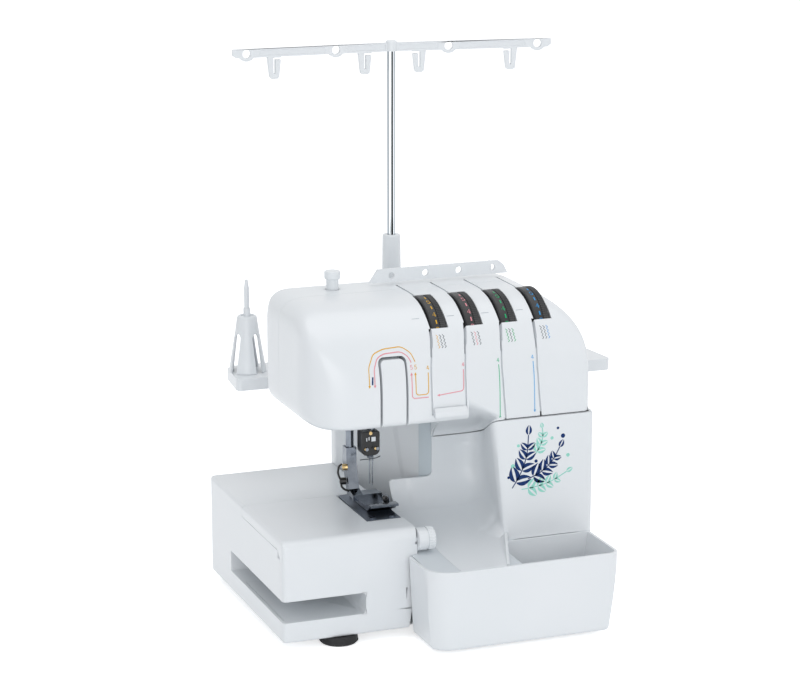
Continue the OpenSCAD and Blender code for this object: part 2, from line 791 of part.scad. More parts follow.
module upper_knife() {
    color("silver") centred() {
        along_y(69, 78) polygon([[knife_x + 0.4, 40], [knife_x + 2.4, 40], [knife_x + 2.4, bed_z + 8],
            [knife_x + 0.9, bed_z + 8], [knife_x + 0.4, bed_z + 6]]);
    }
}

// ---------------------------------------------------------------- thread path

module tension_spindle() {
    color("silver") centred() {
        rod_x(dial_x - 6, dial_y, dial_z, spindle_r, upright_x[1] + upright_t + 2 - dial_x + 6);
        rod_x(dial_x - 9, dial_y, dial_z, spindle_r + 3, 3);
    }
}

// wheel that turns on the tension spindle
module tension_dial(i) {
    x = dial_x + i * dial_pitch;
    color([0.13, 0.13, 0.14]) centred() difference() {
        union() {
            rod_x(x, dial_y, dial_z, dial_r, dial_w - 1.5);
            rod_x(x + dial_w - 1.5, dial_y, dial_z, dial_r - 1, 1.5);
        }
        rod_x(x - 1, dial_y, dial_z, spindle_r + fit, dial_w + 2);
        rod_x(x + 4, dial_y, dial_z, dial_r - 8, dial_w);
        for (a = [0:9:359]) rod_x(x + 8, dial_y + (dial_r + 0.5) * cos(a), dial_z + (dial_r + 0.5) * sin(a),
            1, dial_w);
    }
    color([0.13, 0.13, 0.14]) centred() difference() {
        rod_x(x + 3.9, dial_y, dial_z, spindle_r + 6, dial_w - 5);
        rod_x(x - 1, dial_y, dial_z, spindle_r + fit, dial_w + 2);
    }
}

module tension_dial_1() { tension_dial(0); }
module tension_dial_2() { tension_dial(1); }
module tension_dial_3() { tension_dial(2); }
module tension_dial_4() { tension_dial(3); }

module tension_discs() {
    color("silver") centred() for (i = [0:3]) difference() {
        union() for (k = [1.2, 2.6]) rod_x(dial_x + i * dial_pitch - k, dial_y, dial_z, 14, 0.8);
        rod_x(dial_x + i * dial_pitch - 4, dial_y, dial_z, spindle_r + 0.02, 5);
    }
}

module thread_guide_rail() {
    y = head_y + 113;
    color("whitesmoke") centred() difference() {
        along_y(y, y + 3) polygon([[123, head_top + 0.1], [131, head_top + 12], [247, head_top + 12],
            [252, head_top + 8], [256, head_top + 0.1]]);
        for (i = [0:3]) rod_y(144 + i * 32.2, y - 1, head_top + 6, 3, 5);
    }
}

module thread_guides() {
    color("silver") centred() for (i = [0:3]) {
        x = dial_x + i * dial_pitch - 2;
        rod_y(x, head_y + wall, 206, 1, 23);
        slab([x - 4, 32, 202], [x + 4, 33.5, 210]);
    }
}

module pressure_knob() {
    color("whitesmoke") centred() {
        rod_z(pressure_x, pressure_y, head_top - 15, pressure_r, 22.2);
        translate([pressure_x, pressure_y, head_top + 7]) rotate_extrude() polygon([[0, 0], [6.4, 0],
            [7.2, 0.8], [7.2, 6.6], [6.4, 7.4], [0, 7.4]]);
    }
}

// ---------------------------------------------------------------- front cover and bin

// top of the shelf beside the bed, drawn as [Y, Z]
function shelf_level(y) = lip_z + lip_r
    + (bed_z - lip_z - lip_r - gap) * pow(max(0, y - lip_y) / (tongue_y - lip_y), 2.5);

// sheet under the shelf's surface from y0 to y1, drawn as [Y, Z]
module shelf_side(y0, y1, top, bottom) {
    steps = 16;
    ys = [for (i = [0:steps]) y0 + (y1 - y0) * i / steps];
    polygon(concat([for (y = ys) [y, shelf_level(y) - top]],
        [for (i = [steps:-1:0]) [ys[i], bottom < 0 ? shelf_level(ys[i]) + bottom : bottom]]));
}

// shelf beside the bed, drawn as [X, Y]
module shelf_plan() {
    polygon([[shelf_step_x, lip_y], [shelf_right, lip_y], [bin_back_x - 4, front_y - 8],
        [bin_back_x - 4, front_y - gap], [recess_x + 2 * wall, front_y - gap],
        [recess_x + 2 * wall, front_y + 12],
        [recess_back_x + wall, tongue_y - recess_r], [recess_back_x + wall, tongue_y + wall],
        [shelf_left, tongue_y + wall], [shelf_left, shelf_step_y], [shelf_step_x, shelf_step_y]]);
}

// front panel, side of the sewing space and shelf below the parting line, before they are split
module looper_shell() {
    difference() {
        union() {
            along_z(bin_z + 1.2, head_z) recess_sheet(tongue_x, wall);
            intersection() {
                along_x(shelf_left, recess_back_x + wall) shelf_side(lip_y, tongue_y + wall, 0, -shelf_t);
                along_z(0, bed_z) shelf_plan();
            }
        }
        along_x(shelf_left, recess_back_x + wall + 2) above_seam(-gap);
        slab([recess_back_x, 0, seam_z - gap], [tower_x + 1, 200, head_z + 5]);
        slab([shelf_left, tongue_y - 5, tongue_z], [fascia_x, 200, head_z + 5]);
    }
}

// space that the cover sweeps as it opens about its hinge
module cover_swing(r) {
    rod_x(shelf_left - 1, lip_y, lip_z, r, tower_x + 2 - shelf_left);
}

module front_cover() {
    color("whitesmoke") centred() difference() {
        union() {
            intersection() {
                looper_shell();
                cover_swing(swing_r);
            }
            rod_x(shelf_step_x, lip_y, lip_z, lip_r, shelf_right - shelf_step_x);
        }
        for (x = ear_x) slab([x - play, lip_y - 5, 0], [x + ear_w + play, lip_y + lip_r + 1.5, bed_z]);
        rod_x(shelf_step_x - 1, lip_y, lip_z, hinge_pin_r + fit, shelf_right - shelf_step_x + 2);
    }
}

module recess_panel() {
    color("whitesmoke") centred() difference() {
        looper_shell();
        cover_swing(swing_r + gap);
        slab([recess_back_x + 5, 0, 0], [tower_x + 1, 200, head_z + 5]);
    }
}

module cover_hinge_pin() {
    color("silver") centred() rod_x(shelf_step_x + 0.5, lip_y, lip_z, hinge_pin_r,
        shelf_right - shelf_step_x - 1);
}

module lower_front_housing() {
    low = foot_z + floor_t;
    top = shelf_t + 1.2;
    box_x = [shelf_left + 2, bin_back_x - 5];
    box_y = lip_y + lip_r + 2;
    ear_z = lip_z - 14;
    corner_r = bin_corner - bin_wall - 0.8;
    color("gainsboro") centred() difference() {
        union() {
            difference() {
                along_x(box_x[0], box_x[1]) shelf_side(box_y, front_y + wall, top, low);
                along_x(box_x[0] + wall, box_x[1] - wall)
                    shelf_side(box_y + wall, front_y, top + wall, low - 1);
            }
            intersection() {
                along_x(bin_x + bin_wall + 0.6, shelf_step_x - gap)
                    shelf_side(lip_y - lip_r, shelf_step_y - gap, 0.2, -shelf_t);
                along_z(0, bed_z) polygon(concat([[shelf_step_x, lip_y - lip_r]], [for (i = [8:-1:0])
                    let (a = 11.25 * i)
                    [bin_x + bin_corner - corner_r * cos(a), lip_y - lip_r + corner_r - corner_r * sin(a)]],
                    [[bin_x + 3.3, -1], [bed_w - 1, -1], [bed_w + 1, shelf_step_y],
                    [shelf_step_x, shelf_step_y]]));
            }
            slab([box_x[0], lip_y + 4, lip_z - 9], [shelf_step_x - gap, front_y, lip_z + 1]);
            for (x = ear_x) {
                rod_x(x, lip_y, lip_z, lip_r, ear_w);
                slab([x, lip_y - lip_r, ear_z], [x + ear_w, lip_y + lip_r, lip_z]);
                slab([x, lip_y - lip_r, ear_z], [x + ear_w, lip_y + 9, ear_z + 6]);
            }
            slab([bin_back_x - 4 + gap, front_y, low], [inner_x - 1, front_y + wall, bin_z + 0.6]);
            slab([bin_back_x - 6, front_y, low], [bin_back_x, front_y + wall, lip_z - 4]);
        }
        for (x = ear_x) rod_x(x - 1, lip_y, lip_z, hinge_pin_r + 0.02, ear_w + 2);
    }
}

// trim bin in plan, drawn as [X, Y]
module bin_plan(t) {
    r = bin_corner - t;
    s = 10 - t;
    polygon(concat([[bin_x + t, -4], [bin_x + t, r - bin_out + t]],
        [for (i = [0:8]) [bin_x + t + r - r * cos(11.25 * i), r - bin_out + t - r * sin(11.25 * i)]],
        [for (i = [8:-1:0]) [bin_right - t - s + s * cos(11.25 * i), s - bin_out + t - s * sin(11.25 * i)]],
        [[bin_right - t, bin_back - t], [bin_back_x + t, bin_back - t], [bin_back_x + t, -4]]));
}

module trim_bin() {
    slant = 11;
    color("whitesmoke") centred() difference() {
        intersection() {
            along_z(bin_floor, bin_z) bin_plan(0);
            along_y(-bin_out, bin_back) polygon([[bin_x + 4, bin_floor], [bin_right - slant, bin_floor],
                [bin_right, bin_z], [bin_x, bin_z]]);
        }
        intersection() {
            along_z(bin_floor + bin_wall, bin_z + 1) {
                bin_plan(bin_wall);
                translate([bin_x + bin_wall, -10]) square([bin_back_x - bin_x, 10]);
            }
            along_y(-bin_out, bin_back + 1) polygon([[bin_x + 4 + bin_wall, bin_floor],
                [bin_right - slant - bin_wall, bin_floor], [bin_right - bin_wall, bin_z + 1],
                [bin_x + bin_wall, bin_z + 1]]);
        }
    }
}

// ---------------------------------------------------------------- controls

module stitch_width_knob() {
    color("whitesmoke") centred() difference() {
        union() {
            rod_x(bed_w - 10, knob_y, knob_z, knob_stem_r, 12);
            rod_x(bed_w + gap, knob_y, knob_z, knob_r, 8);
            rod_x(bed_w + gap + 8, knob_y, knob_z, knob_r - 0.8, 1);
            rod_x(bed_w + gap + 9, knob_y, knob_z, knob_r, 6);
        }
        for (a = [0:15:359]) rod_x(bed_w + gap + 9.1, knob_y + (knob_r + 0.4) * cos(a),
            knob_z + (knob_r + 0.4) * sin(a), 0.8, 7);
    }
}

// round control on the right-hand side
module side_dial(z) {
    color("whitesmoke") centred() difference() {
        union() {
            rod_x(tower_x + play, length_dial_y, z, length_dial_r, 7);
            rod_x(tower_x + play + 7, length_dial_y, z, length_dial_r - 4, 2);
            rod_x(inner_x - 8, length_dial_y, z, 3.2, wall + 9);
        }
        for (a = [0:20:359]) rod_x(tower_x, length_dial_y + (length_dial_r + 0.8) * cos(a),
            z + (length_dial_r + 0.8) * sin(a), 1.5, 10);
    }
}

module stitch_length_dial() { side_dial(length_dial_z); }
module differential_dial() { side_dial(differential_z); }

module power_switch() {
    color([0.1, 0.1, 0.11]) centred() {
        rod_y(tower_x - 3, switch_y - 7.9, switch_z, 2, 15.8);
        along_y(switch_y - 7, switch_y + 7) polygon([[tower_x - 4, switch_z - 10],
            [tower_x + 1, switch_z - 10], [tower_x - 1, switch_z], [tower_x + 2.4, switch_z + 10],
            [tower_x - 4, switch_z + 10], [tower_x - 6, switch_z]]);
    }
}

module inlet_socket() {
    color([0.12, 0.12, 0.13]) centred() difference() {
        union() {
            slab([inner_x - 11, switch_y - 12.6, inlet_z - 9.6], [tower_x, switch_y + 12.6, inlet_z + 9.6]);
            slab([tower_x, switch_y - 15, inlet_z - 12], [tower_x + 1.2, switch_y + 15, inlet_z + 12]);
        }
        slab([inner_x - 8, switch_y - 9, inlet_z - 6], [tower_x + 3, switch_y + 9, inlet_z + 6]);
    }
}

module sewing_lamp() {
    color("ivory") centred() {
        slab([56.3, 48.3, head_z + 0.6], [83.7, 71.7, head_z + wall + 0.2]);
        slab([54, 46, head_z + wall], [86, 74, head_z + wall + 7]);
    }
}

// ---------------------------------------------------------------- thread stand

module spool_tray() {
    z = tray_z - tray_t;
    front_left = bed_d - 18;
    r = 5;
    color("whitesmoke") centred() difference() {
        along_z(z, tray_z) polygon(concat(
            quarter([tray_x + r, front_left + r], -r, -r, 2, 6),
            [[column_left - 6, front_left], [column_left, head_back + gap + 1]],
            [for (p = [tray_x + tray_w - r]) for (i = [6:-1:0])
                [p + r * cos(15 * i), head_back + gap + 1 + r - r * sin(15 * i)]],
            [[tray_x + tray_w - 9, tray_back - 8], [tray_x + tray_w - 17, tray_back],
            [tray_x + 12, tray_back], [tray_x + 4, tray_back - 8]]));
        along_z(z - 1, tray_z - 3) polygon([[tray_x + 4, front_left + 4], [column_left - 4, front_left + 4],
            [column_left - 4, tray_back - 4], [tray_x + 12, tray_back - 4]]);
        slab([tower_x + 4, head_back + 6, z - 1], [tray_x + tray_w - 14, tray_back - 6, tray_z - 3]);
        rod_z(mast_x, mast_y, z - 1, socket_r + play / 2, tray_t + 2);
    }
}

module spool_pins() {
    color("whitesmoke") centred() for (x = pin_x) {
        rod_z(x, pin_y, tray_z, 6, 4);
        rod_z(x, pin_y, tray_z, pin_r, pin_top - tray_z - 8);
        translate([x, pin_y, pin_top - 8]) cylinder(r1 = pin_r, r2 = 1.2, h = 8);
    }
}

// ribbed cone holder that slips over a spool pin
module spool_cone(i) {
    bore = pin_r + play;
    skirt = cone_h - 23;
    color("whitesmoke") centred() translate([pin_x[i], pin_y, tray_z + play]) {
        rotate_extrude() polygon([[bore, skirt + 3], [9, skirt + 3], [9, skirt], [11.4, skirt],
            [10, cone_h - 12], [10, cone_h - 8], [6, cone_h - 7.4], [3.6, cone_h - 7], [3.2, cone_h],
            [bore, cone_h]]);
        for (a = [0:90:359]) rotate([0, 0, a]) along_y(-3, 3) polygon([[8.6, skirt + 1], [11.2, skirt + 1],
            [17.5, 0], [13.5, 0]]);
    }
}

module spool_cone_1() { spool_cone(0); }
module spool_cone_2() { spool_cone(1); }
module spool_cone_3() { spool_cone(2); }
module spool_cone_4() { spool_cone(3); }

module mast_socket() {
    color("whitesmoke") centred() translate([mast_x, mast_y, 0]) difference() {
        rotate_extrude() polygon([[0, socket_foot], [socket_r, socket_foot], [socket_r, tray_z],
            [socket_r - 2, tray_z + 6], [8.4, socket_top - 2], [8, socket_top], [0, socket_top]]);
        translate([0, 0, socket_foot + 4]) cylinder(r = mast_r + fit, h = socket_top);
    }
}

module mast_tube() {
    color("silver") centred() rod_z(mast_x, mast_y, mast_foot, mast_r, bar_z + bar_h - 1 - mast_foot);
}

// one arm of the thread bar along +X, with its eyes and open hooks
module bar_arm() {
    mid = bar_h / 2;
    difference() {
        union() {
            slab([4, -arm_t / 2, 0], [arm_length, arm_t / 2, bar_h]);
            for (x = eye_at) rod_y(x, -arm_t / 2, mid, eye_r + 2, arm_t);
            for (x = hook_at) slab([x - hook_w / 2, -arm_t / 2, -hook_h], [x + hook_w / 2, arm_t / 2, 1]);
        }
        for (x = eye_at) rod_y(x, -arm_t, mid, eye_r, 2 * arm_t);
        for (x = hook_at) {
            slab([x - 2.5, -arm_t, -hook_h + 4], [x + 2.5, arm_t, -3]);
            slab([x - hook_w, -arm_t, -hook_h + 12], [x, arm_t, -hook_h + 15]);
        }
        for (x = [[10, 46], [62, 131]], y = [-arm_t, arm_t / 2 - 1])
            slab([x[0], y, 1.8], [x[1], y + arm_t / 2 + 1, bar_h - 1.8]);
    }
}

module thread_bar() {
    color("whitesmoke") centred() translate([mast_x, mast_y, bar_z]) difference() {
        union() {
            cylinder(r = 8, h = bar_h + 2);
            rotate([0, 0, 180]) bar_arm();
            rotate([0, 0, -arm_bend]) bar_arm();
        }
        translate([0, 0, -1]) cylinder(r = mast_r + 0.02, h = bar_h);
    }
}

base_tray();
rubber_feet();
main_frame();
free_arm_cover();
flat_bed_attachment();
needle_plate();
plate_screws();
lower_knife();
feed_dogs();
front_housing();
rear_housing();
right_side_cover();
lower_front_housing();
front_cover();
recess_panel();
cover_hinge_pin();
trim_bin();
take_up_cover();
take_up_lever();
thread_guide_rail();
thread_guides();
tension_spindle();
tension_discs();
tension_dial_1();
tension_dial_2();
tension_dial_3();
tension_dial_4();
pressure_knob();
presser_bar();
presser_spring();
presser_foot();
presser_lifter();
needle_bar();
needle_clamp();
needles();
upper_looper();
lower_looper();
upper_knife();
main_shaft();
shaft_bearings();
driven_pulley();
handwheel();
motor();
motor_pulley();
drive_belt();
stitch_width_knob();
stitch_length_dial();
differential_dial();
power_switch();
inlet_socket();
sewing_lamp();
spool_tray();
spool_pins();
spool_cone_1();
spool_cone_2();
spool_cone_3();
spool_cone_4();
mast_socket();
mast_tube();
thread_bar();
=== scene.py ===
import json
import math

import bmesh
import bpy
import numpy as np
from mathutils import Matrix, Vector

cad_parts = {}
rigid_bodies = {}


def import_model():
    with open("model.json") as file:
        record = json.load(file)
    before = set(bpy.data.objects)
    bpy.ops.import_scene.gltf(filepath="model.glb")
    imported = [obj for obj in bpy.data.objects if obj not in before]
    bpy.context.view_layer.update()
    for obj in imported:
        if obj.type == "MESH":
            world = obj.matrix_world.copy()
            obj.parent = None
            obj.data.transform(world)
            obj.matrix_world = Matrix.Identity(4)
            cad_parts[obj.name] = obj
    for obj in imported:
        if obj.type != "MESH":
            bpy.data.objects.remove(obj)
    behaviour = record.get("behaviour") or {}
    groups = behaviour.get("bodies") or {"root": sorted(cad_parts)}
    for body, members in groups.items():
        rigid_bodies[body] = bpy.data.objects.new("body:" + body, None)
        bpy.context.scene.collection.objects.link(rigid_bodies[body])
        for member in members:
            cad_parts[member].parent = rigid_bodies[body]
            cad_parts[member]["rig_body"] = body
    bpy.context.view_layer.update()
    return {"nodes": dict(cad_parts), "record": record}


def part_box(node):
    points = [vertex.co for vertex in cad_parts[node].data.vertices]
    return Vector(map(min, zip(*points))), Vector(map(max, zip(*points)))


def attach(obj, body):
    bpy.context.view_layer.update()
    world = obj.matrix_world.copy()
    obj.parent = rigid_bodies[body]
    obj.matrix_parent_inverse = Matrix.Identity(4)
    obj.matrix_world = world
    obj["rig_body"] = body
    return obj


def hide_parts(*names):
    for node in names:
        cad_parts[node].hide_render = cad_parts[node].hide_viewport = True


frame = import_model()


# the machine is measured in millimetres from the bed's front left corner on the table
bedCorner = (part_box("flat_bed_attachment")[0].x * 1000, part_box("free_arm_cover")[0].y * 1000)


def at(x, y, z):
    return Vector(((x + bedCorner[0]) / 1000, (y + bedCorner[1]) / 1000, z / 1000))


# lowest and highest corner of a node in the machine's millimetres
def spanOf(node):
    low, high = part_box(node)
    back = np.array([bedCorner[0], bedCorner[1], 0.0])
    return np.array(low) * 1000 - back, np.array(high) * 1000 - back


# camera and light

shot = {
    "place": (-0.8134, -2.0131, 0.7643),
    "turn": 20.9,
    "dip": 13.9,
    "lens": 112.8,
}


def aimCamera():
    eye = bpy.data.cameras.new("studioCamera")
    eye.lens = shot["lens"]
    eye.sensor_width = 36
    eye.clip_start = 0.05
    eye.clip_end = 60
    camera = bpy.data.objects.new("studioCamera", eye)
    camera.location = shot["place"]
    camera.rotation_euler = (math.radians(90 - shot["dip"]), 0, math.radians(-shot["turn"]))
    bpy.context.scene.collection.objects.link(camera)
    bpy.context.scene.camera = camera


aimCamera()
print("camera is set")

studio = {
    "world": 0.62,
    "key": {"at": (-0.9, -2.5, 0.75), "size": 2.0, "watts": 19},
    "fill": {"at": (2.1, -1.6, 1.1), "size": 1.8, "watts": 5},
    "top": {"at": (0.1, 0.2, 2.6), "size": 2.4, "watts": 16},
}


def whiteRoom():
    world = bpy.data.worlds.new("whiteRoom")
    bpy.context.scene.world = world
    world.use_nodes = True
    tree = world.node_tree
    tree.nodes.clear()
    path = tree.nodes.new("ShaderNodeLightPath")
    seen = tree.nodes.new("ShaderNodeMath")
    seen.operation = "MAXIMUM"
    seenToo = tree.nodes.new("ShaderNodeMath")
    seenToo.operation = "MAXIMUM"
    soft = tree.nodes.new("ShaderNodeBackground")
    soft.inputs["Color"].default_value = (0.965, 0.98, 1.0, 1)
    soft.inputs["Strength"].default_value = studio["world"]
    white = tree.nodes.new("ShaderNodeBackground")
    white.inputs["Color"].default_value = (1, 1, 1, 1)
    mix = tree.nodes.new("ShaderNodeMixShader")
    out = tree.nodes.new("ShaderNodeOutputWorld")
    tree.links.new(path.outputs["Is Camera Ray"], seen.inputs[0])
    tree.links.new(path.outputs["Is Glossy Ray"], seen.inputs[1])
    tree.links.new(seen.outputs[0], seenToo.inputs[0])
    tree.links.new(path.outputs["Is Transmission Ray"], seenToo.inputs[1])
    tree.links.new(seenToo.outputs[0], mix.inputs[0])
    tree.links.new(soft.outputs[0], mix.inputs[1])
    tree.links.new(white.outputs[0], mix.inputs[2])
    tree.links.new(mix.outputs[0], out.inputs[0])


def softLamp(name, spec):
    lamp = bpy.data.lights.new(name, "AREA")
    lamp.shape = "DISK"
    lamp.size = spec["size"]
    lamp.energy = spec["watts"]
    holder = bpy.data.objects.new(name, lamp)
    holder.location = spec["at"]
    aim = Vector((0, 0, 0.2)) - Vector(spec["at"])
    holder.rotation_euler = aim.to_track_quat("-Z", "Y").to_euler()
    bpy.context.scene.collection.objects.link(holder)


whiteRoom()
for lampName in ("key", "fill", "top"):
    softLamp(lampName + "Lamp", studio[lampName])
bpy.context.scene.view_settings.view_transform = "Standard"


# materials

# linear colour from the six-digit web colour
def shade(hexColour):
    out = []
    for i in (0, 2, 4):
        v = int(hexColour[i:i + 2], 16) / 255
        out.append(v / 12.92 if v <= 0.04045 else ((v + 0.055) / 1.055) ** 2.4)
    return (*out, 1)


# short-hand for building one material's nodes
class Recipe:
    def __init__(self, name):
        self.material = bpy.data.materials.new(name)
        self.material.use_nodes = True
        self.tree = self.material.node_tree
        self.skin = self.tree.nodes["Principled BSDF"]

    def node(self, kind, **values):
        made = self.tree.nodes.new("ShaderNode" + kind)
        for key, value in values.items():
            if hasattr(made, key):
                setattr(made, key, value)
            else:
                made.inputs[key.replace("_", " ")].default_value = value
        return made

    def link(self, source, target):
        self.tree.links.new(source, target)

    def noise(self, scale, detail=4, rough=0.55):
        place = self.node("TexCoord")
        grain = self.node("TexNoise", Scale=scale, Detail=detail, Roughness=rough)
        self.link(place.outputs["Object"], grain.inputs["Vector"])
        return grain

    def ramp(self, source, stops):
        ramp = self.node("ValToRGB")
        line = ramp.color_ramp
        while len(line.elements) < len(stops):
            line.elements.new(0.5)
        for element, (where, colour) in zip(line.elements, stops):
            element.position = where
            element.color = colour
        self.link(source, ramp.inputs[0])
        return ramp.outputs[0]

    def spread(self, source, low, high):
        span = self.node("MapRange")
        span.inputs["To Min"].default_value = low
        span.inputs["To Max"].default_value = high
        self.link(source, span.inputs["Value"])
        return span.outputs[0]

    def bump(self, source, strength, distance):
        relief = self.node("Bump", Strength=strength, Distance=distance)
        self.link(source, relief.inputs["Height"])
        self.link(relief.outputs[0], self.skin.inputs["Normal"])


# injection-moulded plastic: faint cloudy tone, fine spark-eroded grain
def mouldedPlastic(name, colour, dim, rough, coat=0.0, grain=1400):
    r = Recipe(name)
    cloud = r.noise(9, 3, 0.5)
    r.link(r.ramp(cloud.outputs["Fac"], [(0.35, shade(dim)), (0.65, shade(colour))]),
           r.skin.inputs["Base Color"])
    fine = r.noise(grain, 2, 0.6)
    r.link(r.spread(fine.outputs["Fac"], rough - 0.04, rough + 0.04), r.skin.inputs["Roughness"])
    r.bump(fine.outputs["Fac"], 0.06, 0.0002)
    r.skin.inputs["Coat Weight"].default_value = coat
    r.skin.inputs["Coat Roughness"].default_value = 0.18
    return r.material


# drawn or ground metal with fine lines along one way
def brushedMetal(name, colour, dark, rough, stretch=(40, 900, 900), metal=1.0):
    r = Recipe(name)
    place = r.node("TexCoord")
    squeeze = r.node("Mapping")
    squeeze.inputs["Scale"].default_value = stretch
    r.link(place.outputs["Object"], squeeze.inputs["Vector"])
    lines = r.node("TexNoise", Scale=1.0, Detail=3)
    r.link(squeeze.outputs[0], lines.inputs["Vector"])
    wear = r.noise(60, 3, 0.6)
    r.link(r.ramp(wear.outputs["Fac"], [(0.3, shade(dark)), (0.7, shade(colour))]),
           r.skin.inputs["Base Color"])
    r.skin.inputs["Metallic"].default_value = metal
    r.link(r.spread(lines.outputs["Fac"], rough - 0.06, rough + 0.08), r.skin.inputs["Roughness"])
    r.bump(lines.outputs["Fac"], 0.05, 0.0001)
    return r.material


# painted reflection: dark and bright bands, set by angle about the mast's axis
paintedReflectionBands = [
    (0.0, "d5dade"), (0.06, "6c737a"), (0.09, "aab1b7"), (0.13, "f6f8f9"), (0.175, "e4e8ea"),
    (0.2, "16181a"), (0.235, "030303"), (0.25, "50575d"), (0.265, "eceff1"), (0.3, "c7cdd2"),
    (0.34, "70777e"), (0.37, "f2f4f5"), (0.6, "f1f3f5"), (1.0, "d5dade"),
]


# polished tube with a painted reflection: dark and bright bands painted into its colour at fixed angles about
# its axis
def paintedReflectionTube(name):
    r = Recipe(name)
    low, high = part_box("mast_tube")
    place = r.node("TexCoord")
    middle = r.node("Mapping")
    middle.inputs["Location"].default_value = (-(low.x + high.x) / 2, -(low.y + high.y) / 2, 0)
    r.link(place.outputs["Object"], middle.inputs["Vector"])
    around = r.node("TexGradient")
    around.gradient_type = "RADIAL"
    r.link(middle.outputs[0], around.inputs["Vector"])
    stops = [(where, shade(tone)) for where, tone in paintedReflectionBands]
    r.link(r.ramp(around.outputs["Fac"], stops), r.skin.inputs["Base Color"])
    r.skin.inputs["Metallic"].default_value = 1.0
    fine = r.noise(300, 2, 0.5)
    r.link(r.spread(fine.outputs["Fac"], 0.06, 0.12), r.skin.inputs["Roughness"])
    return r.material


# sand-cast aluminium: pitted, dull, with darker hollows
def castMetal(name, colour, dark):
    r = Recipe(name)
    pits = r.node("TexVoronoi", Scale=420.0)
    place = r.node("TexCoord")
    r.link(place.outputs["Object"], pits.inputs["Vector"])
    patch = r.noise(35, 5, 0.6)
    r.link(r.ramp(patch.outputs["Fac"], [(0.3, shade(dark)), (0.7, shade(colour))]),
           r.skin.inputs["Base Color"])
    r.skin.inputs["Metallic"].default_value = 0.75
    r.link(r.spread(patch.outputs["Fac"], 0.42, 0.62), r.skin.inputs["Roughness"])
    r.bump(pits.outputs["Distance"], 0.35, 0.0004)
    return r.material


def mouldedRubber(name, colour, dim):
    r = Recipe(name)
    dust = r.noise(220, 4, 0.7)
    r.link(r.ramp(dust.outputs["Fac"], [(0.4, shade(colour)), (0.8, shade(dim))]),
           r.skin.inputs["Base Color"])
    r.link(r.spread(dust.outputs["Fac"], 0.62, 0.82), r.skin.inputs["Roughness"])
    r.bump(dust.outputs["Fac"], 0.3, 0.0003)
    return r.material


# pad-printed ink with a faintly uneven body
def printedInk(name, colour, dim):
    r = Recipe(name)
    body = r.noise(900, 3, 0.6)
    r.link(r.ramp(body.outputs["Fac"], [(0.3, shade(dim)), (0.7, shade(colour))]),
           r.skin.inputs["Base Color"])
    r.link(r.spread(body.outputs["Fac"], 0.38, 0.5), r.skin.inputs["Roughness"])
    r.skin.inputs["Specular IOR Level"].default_value = 0.22
    return r.material


def lampLens(name):
    r = Recipe(name)
    ribs = r.node("TexWave", Scale=180.0)
    place = r.node("TexCoord")
    r.link(place.outputs["Object"], ribs.inputs["Vector"])
    r.skin.inputs["Base Color"].default_value = shade("f3efe2")
    r.skin.inputs["Transmission Weight"].default_value = 0.6
    r.link(r.spread(ribs.outputs["Fac"], 0.2, 0.4), r.skin.inputs["Roughness"])
    r.bump(ribs.outputs["Fac"], 0.4, 0.0004)
    return r.material


finishes = {
    "white_plastic": mouldedPlastic("satinShell", "e6e9ec", "e3e7ea", 0.34, 0.22),
    # white plastic painted darker, as painted shade for a wall that stands in shadow
    "shadowed_shell": mouldedPlastic("innerWallPaintedShade", "c3ccd2", "bcc6cc", 0.5),
    "brass": brushedMetal("brassScrew", "dcc596", "b0905c", 0.2, (200, 200, 200)),
    "grey_plastic": mouldedPlastic("paleBase", "d8dee2", "d3d9de", 0.42, 0.1),
    "black_plastic": mouldedPlastic("blackMoulding", "0b0c0e", "07080a", 0.3),
    "charcoal_dial": mouldedPlastic("charcoalDial", "2c2d2f", "232426", 0.44),
    "steel": brushedMetal("groundSteel", "8d939b", "666c75", 0.17, (300, 300, 20)),
    "plate_steel": brushedMetal("needlePlateSteel", "7a818d", "5d6470", 0.33, (900, 60, 900)),
    # the mast's polished metal carries a painted reflection in its colour
    "chrome": paintedReflectionTube("mastChromePaintedReflection"),
    "cast_frame": castMetal("castFrame", "9aa0a6", "71777d"),
    "dark_steel": brushedMetal("darkSteel", "6b7077", "43474d", 0.22, (300, 300, 20)),
    "bronze": brushedMetal("bronzeBush", "b08a4a", "8a6835", 0.34),
    "rubber": mouldedRubber("feetRubber", "131416", "2a2b2d"),
    "clear_lens": lampLens("ribbedLens"),
}
inks = {
    "yellow": printedInk("inkYellow", "e2b13c", "d9a634"),
    "pink": printedInk("inkPink", "e79aa4", "df8e99"),
    "green": printedInk("inkGreen", "22b573", "1da467"),
    "blue": printedInk("inkBlue", "3c9fe0", "3392d2"),
    "paleGreen": printedInk("inkPaleGreen", "6cc7a0", "62bc95"),
    "paleBlue": printedInk("inkPaleBlue", "72b6e6", "66abdc"),
    "grey": printedInk("inkGrey", "5d646b", "525960"),
    "faint": printedInk("inkFaint", "b4bcc3", "aab3ba"),
    "navy": printedInk("inkNavy", "06306a", "052a60"),
    "mint": printedInk("inkMint", "9fded0", "93d5c6"),
}
nodeSlot = {entry["node"]: entry["material_slot"] for entry in frame["record"]["subparts"]}
print("materials are made:", len(finishes) + len(inks))


# shaping

# object from points in the machine's millimetres
def newPiece(name, points, faces):
    mesh = bpy.data.meshes.new(name)
    spots = np.asarray(points, float)
    spots = (spots + [bedCorner[0], bedCorner[1], 0]) / 1000
    mesh.from_pydata(spots.tolist(), [], [list(map(int, f)) for f in faces])
    mesh.update()
    ob = bpy.data.objects.new(name, mesh)
    bpy.context.scene.collection.objects.link(ob)
    return ob


# applies every modifier to the mesh
def settle(ob):
    bpy.context.view_layer.update()
    view = bpy.context.evaluated_depsgraph_get()
    mesh = bpy.data.meshes.new_from_object(ob.evaluated_get(view))
    ob.modifiers.clear()
    old = ob.data
    ob.data = mesh
    bpy.data.meshes.remove(old)
    return ob


def edit(ob, work):
    bm = bmesh.new()
    bm.from_mesh(ob.data)
    work(bm)
    bm.to_mesh(ob.data)
    bm.free()
    ob.data.update()
    return ob


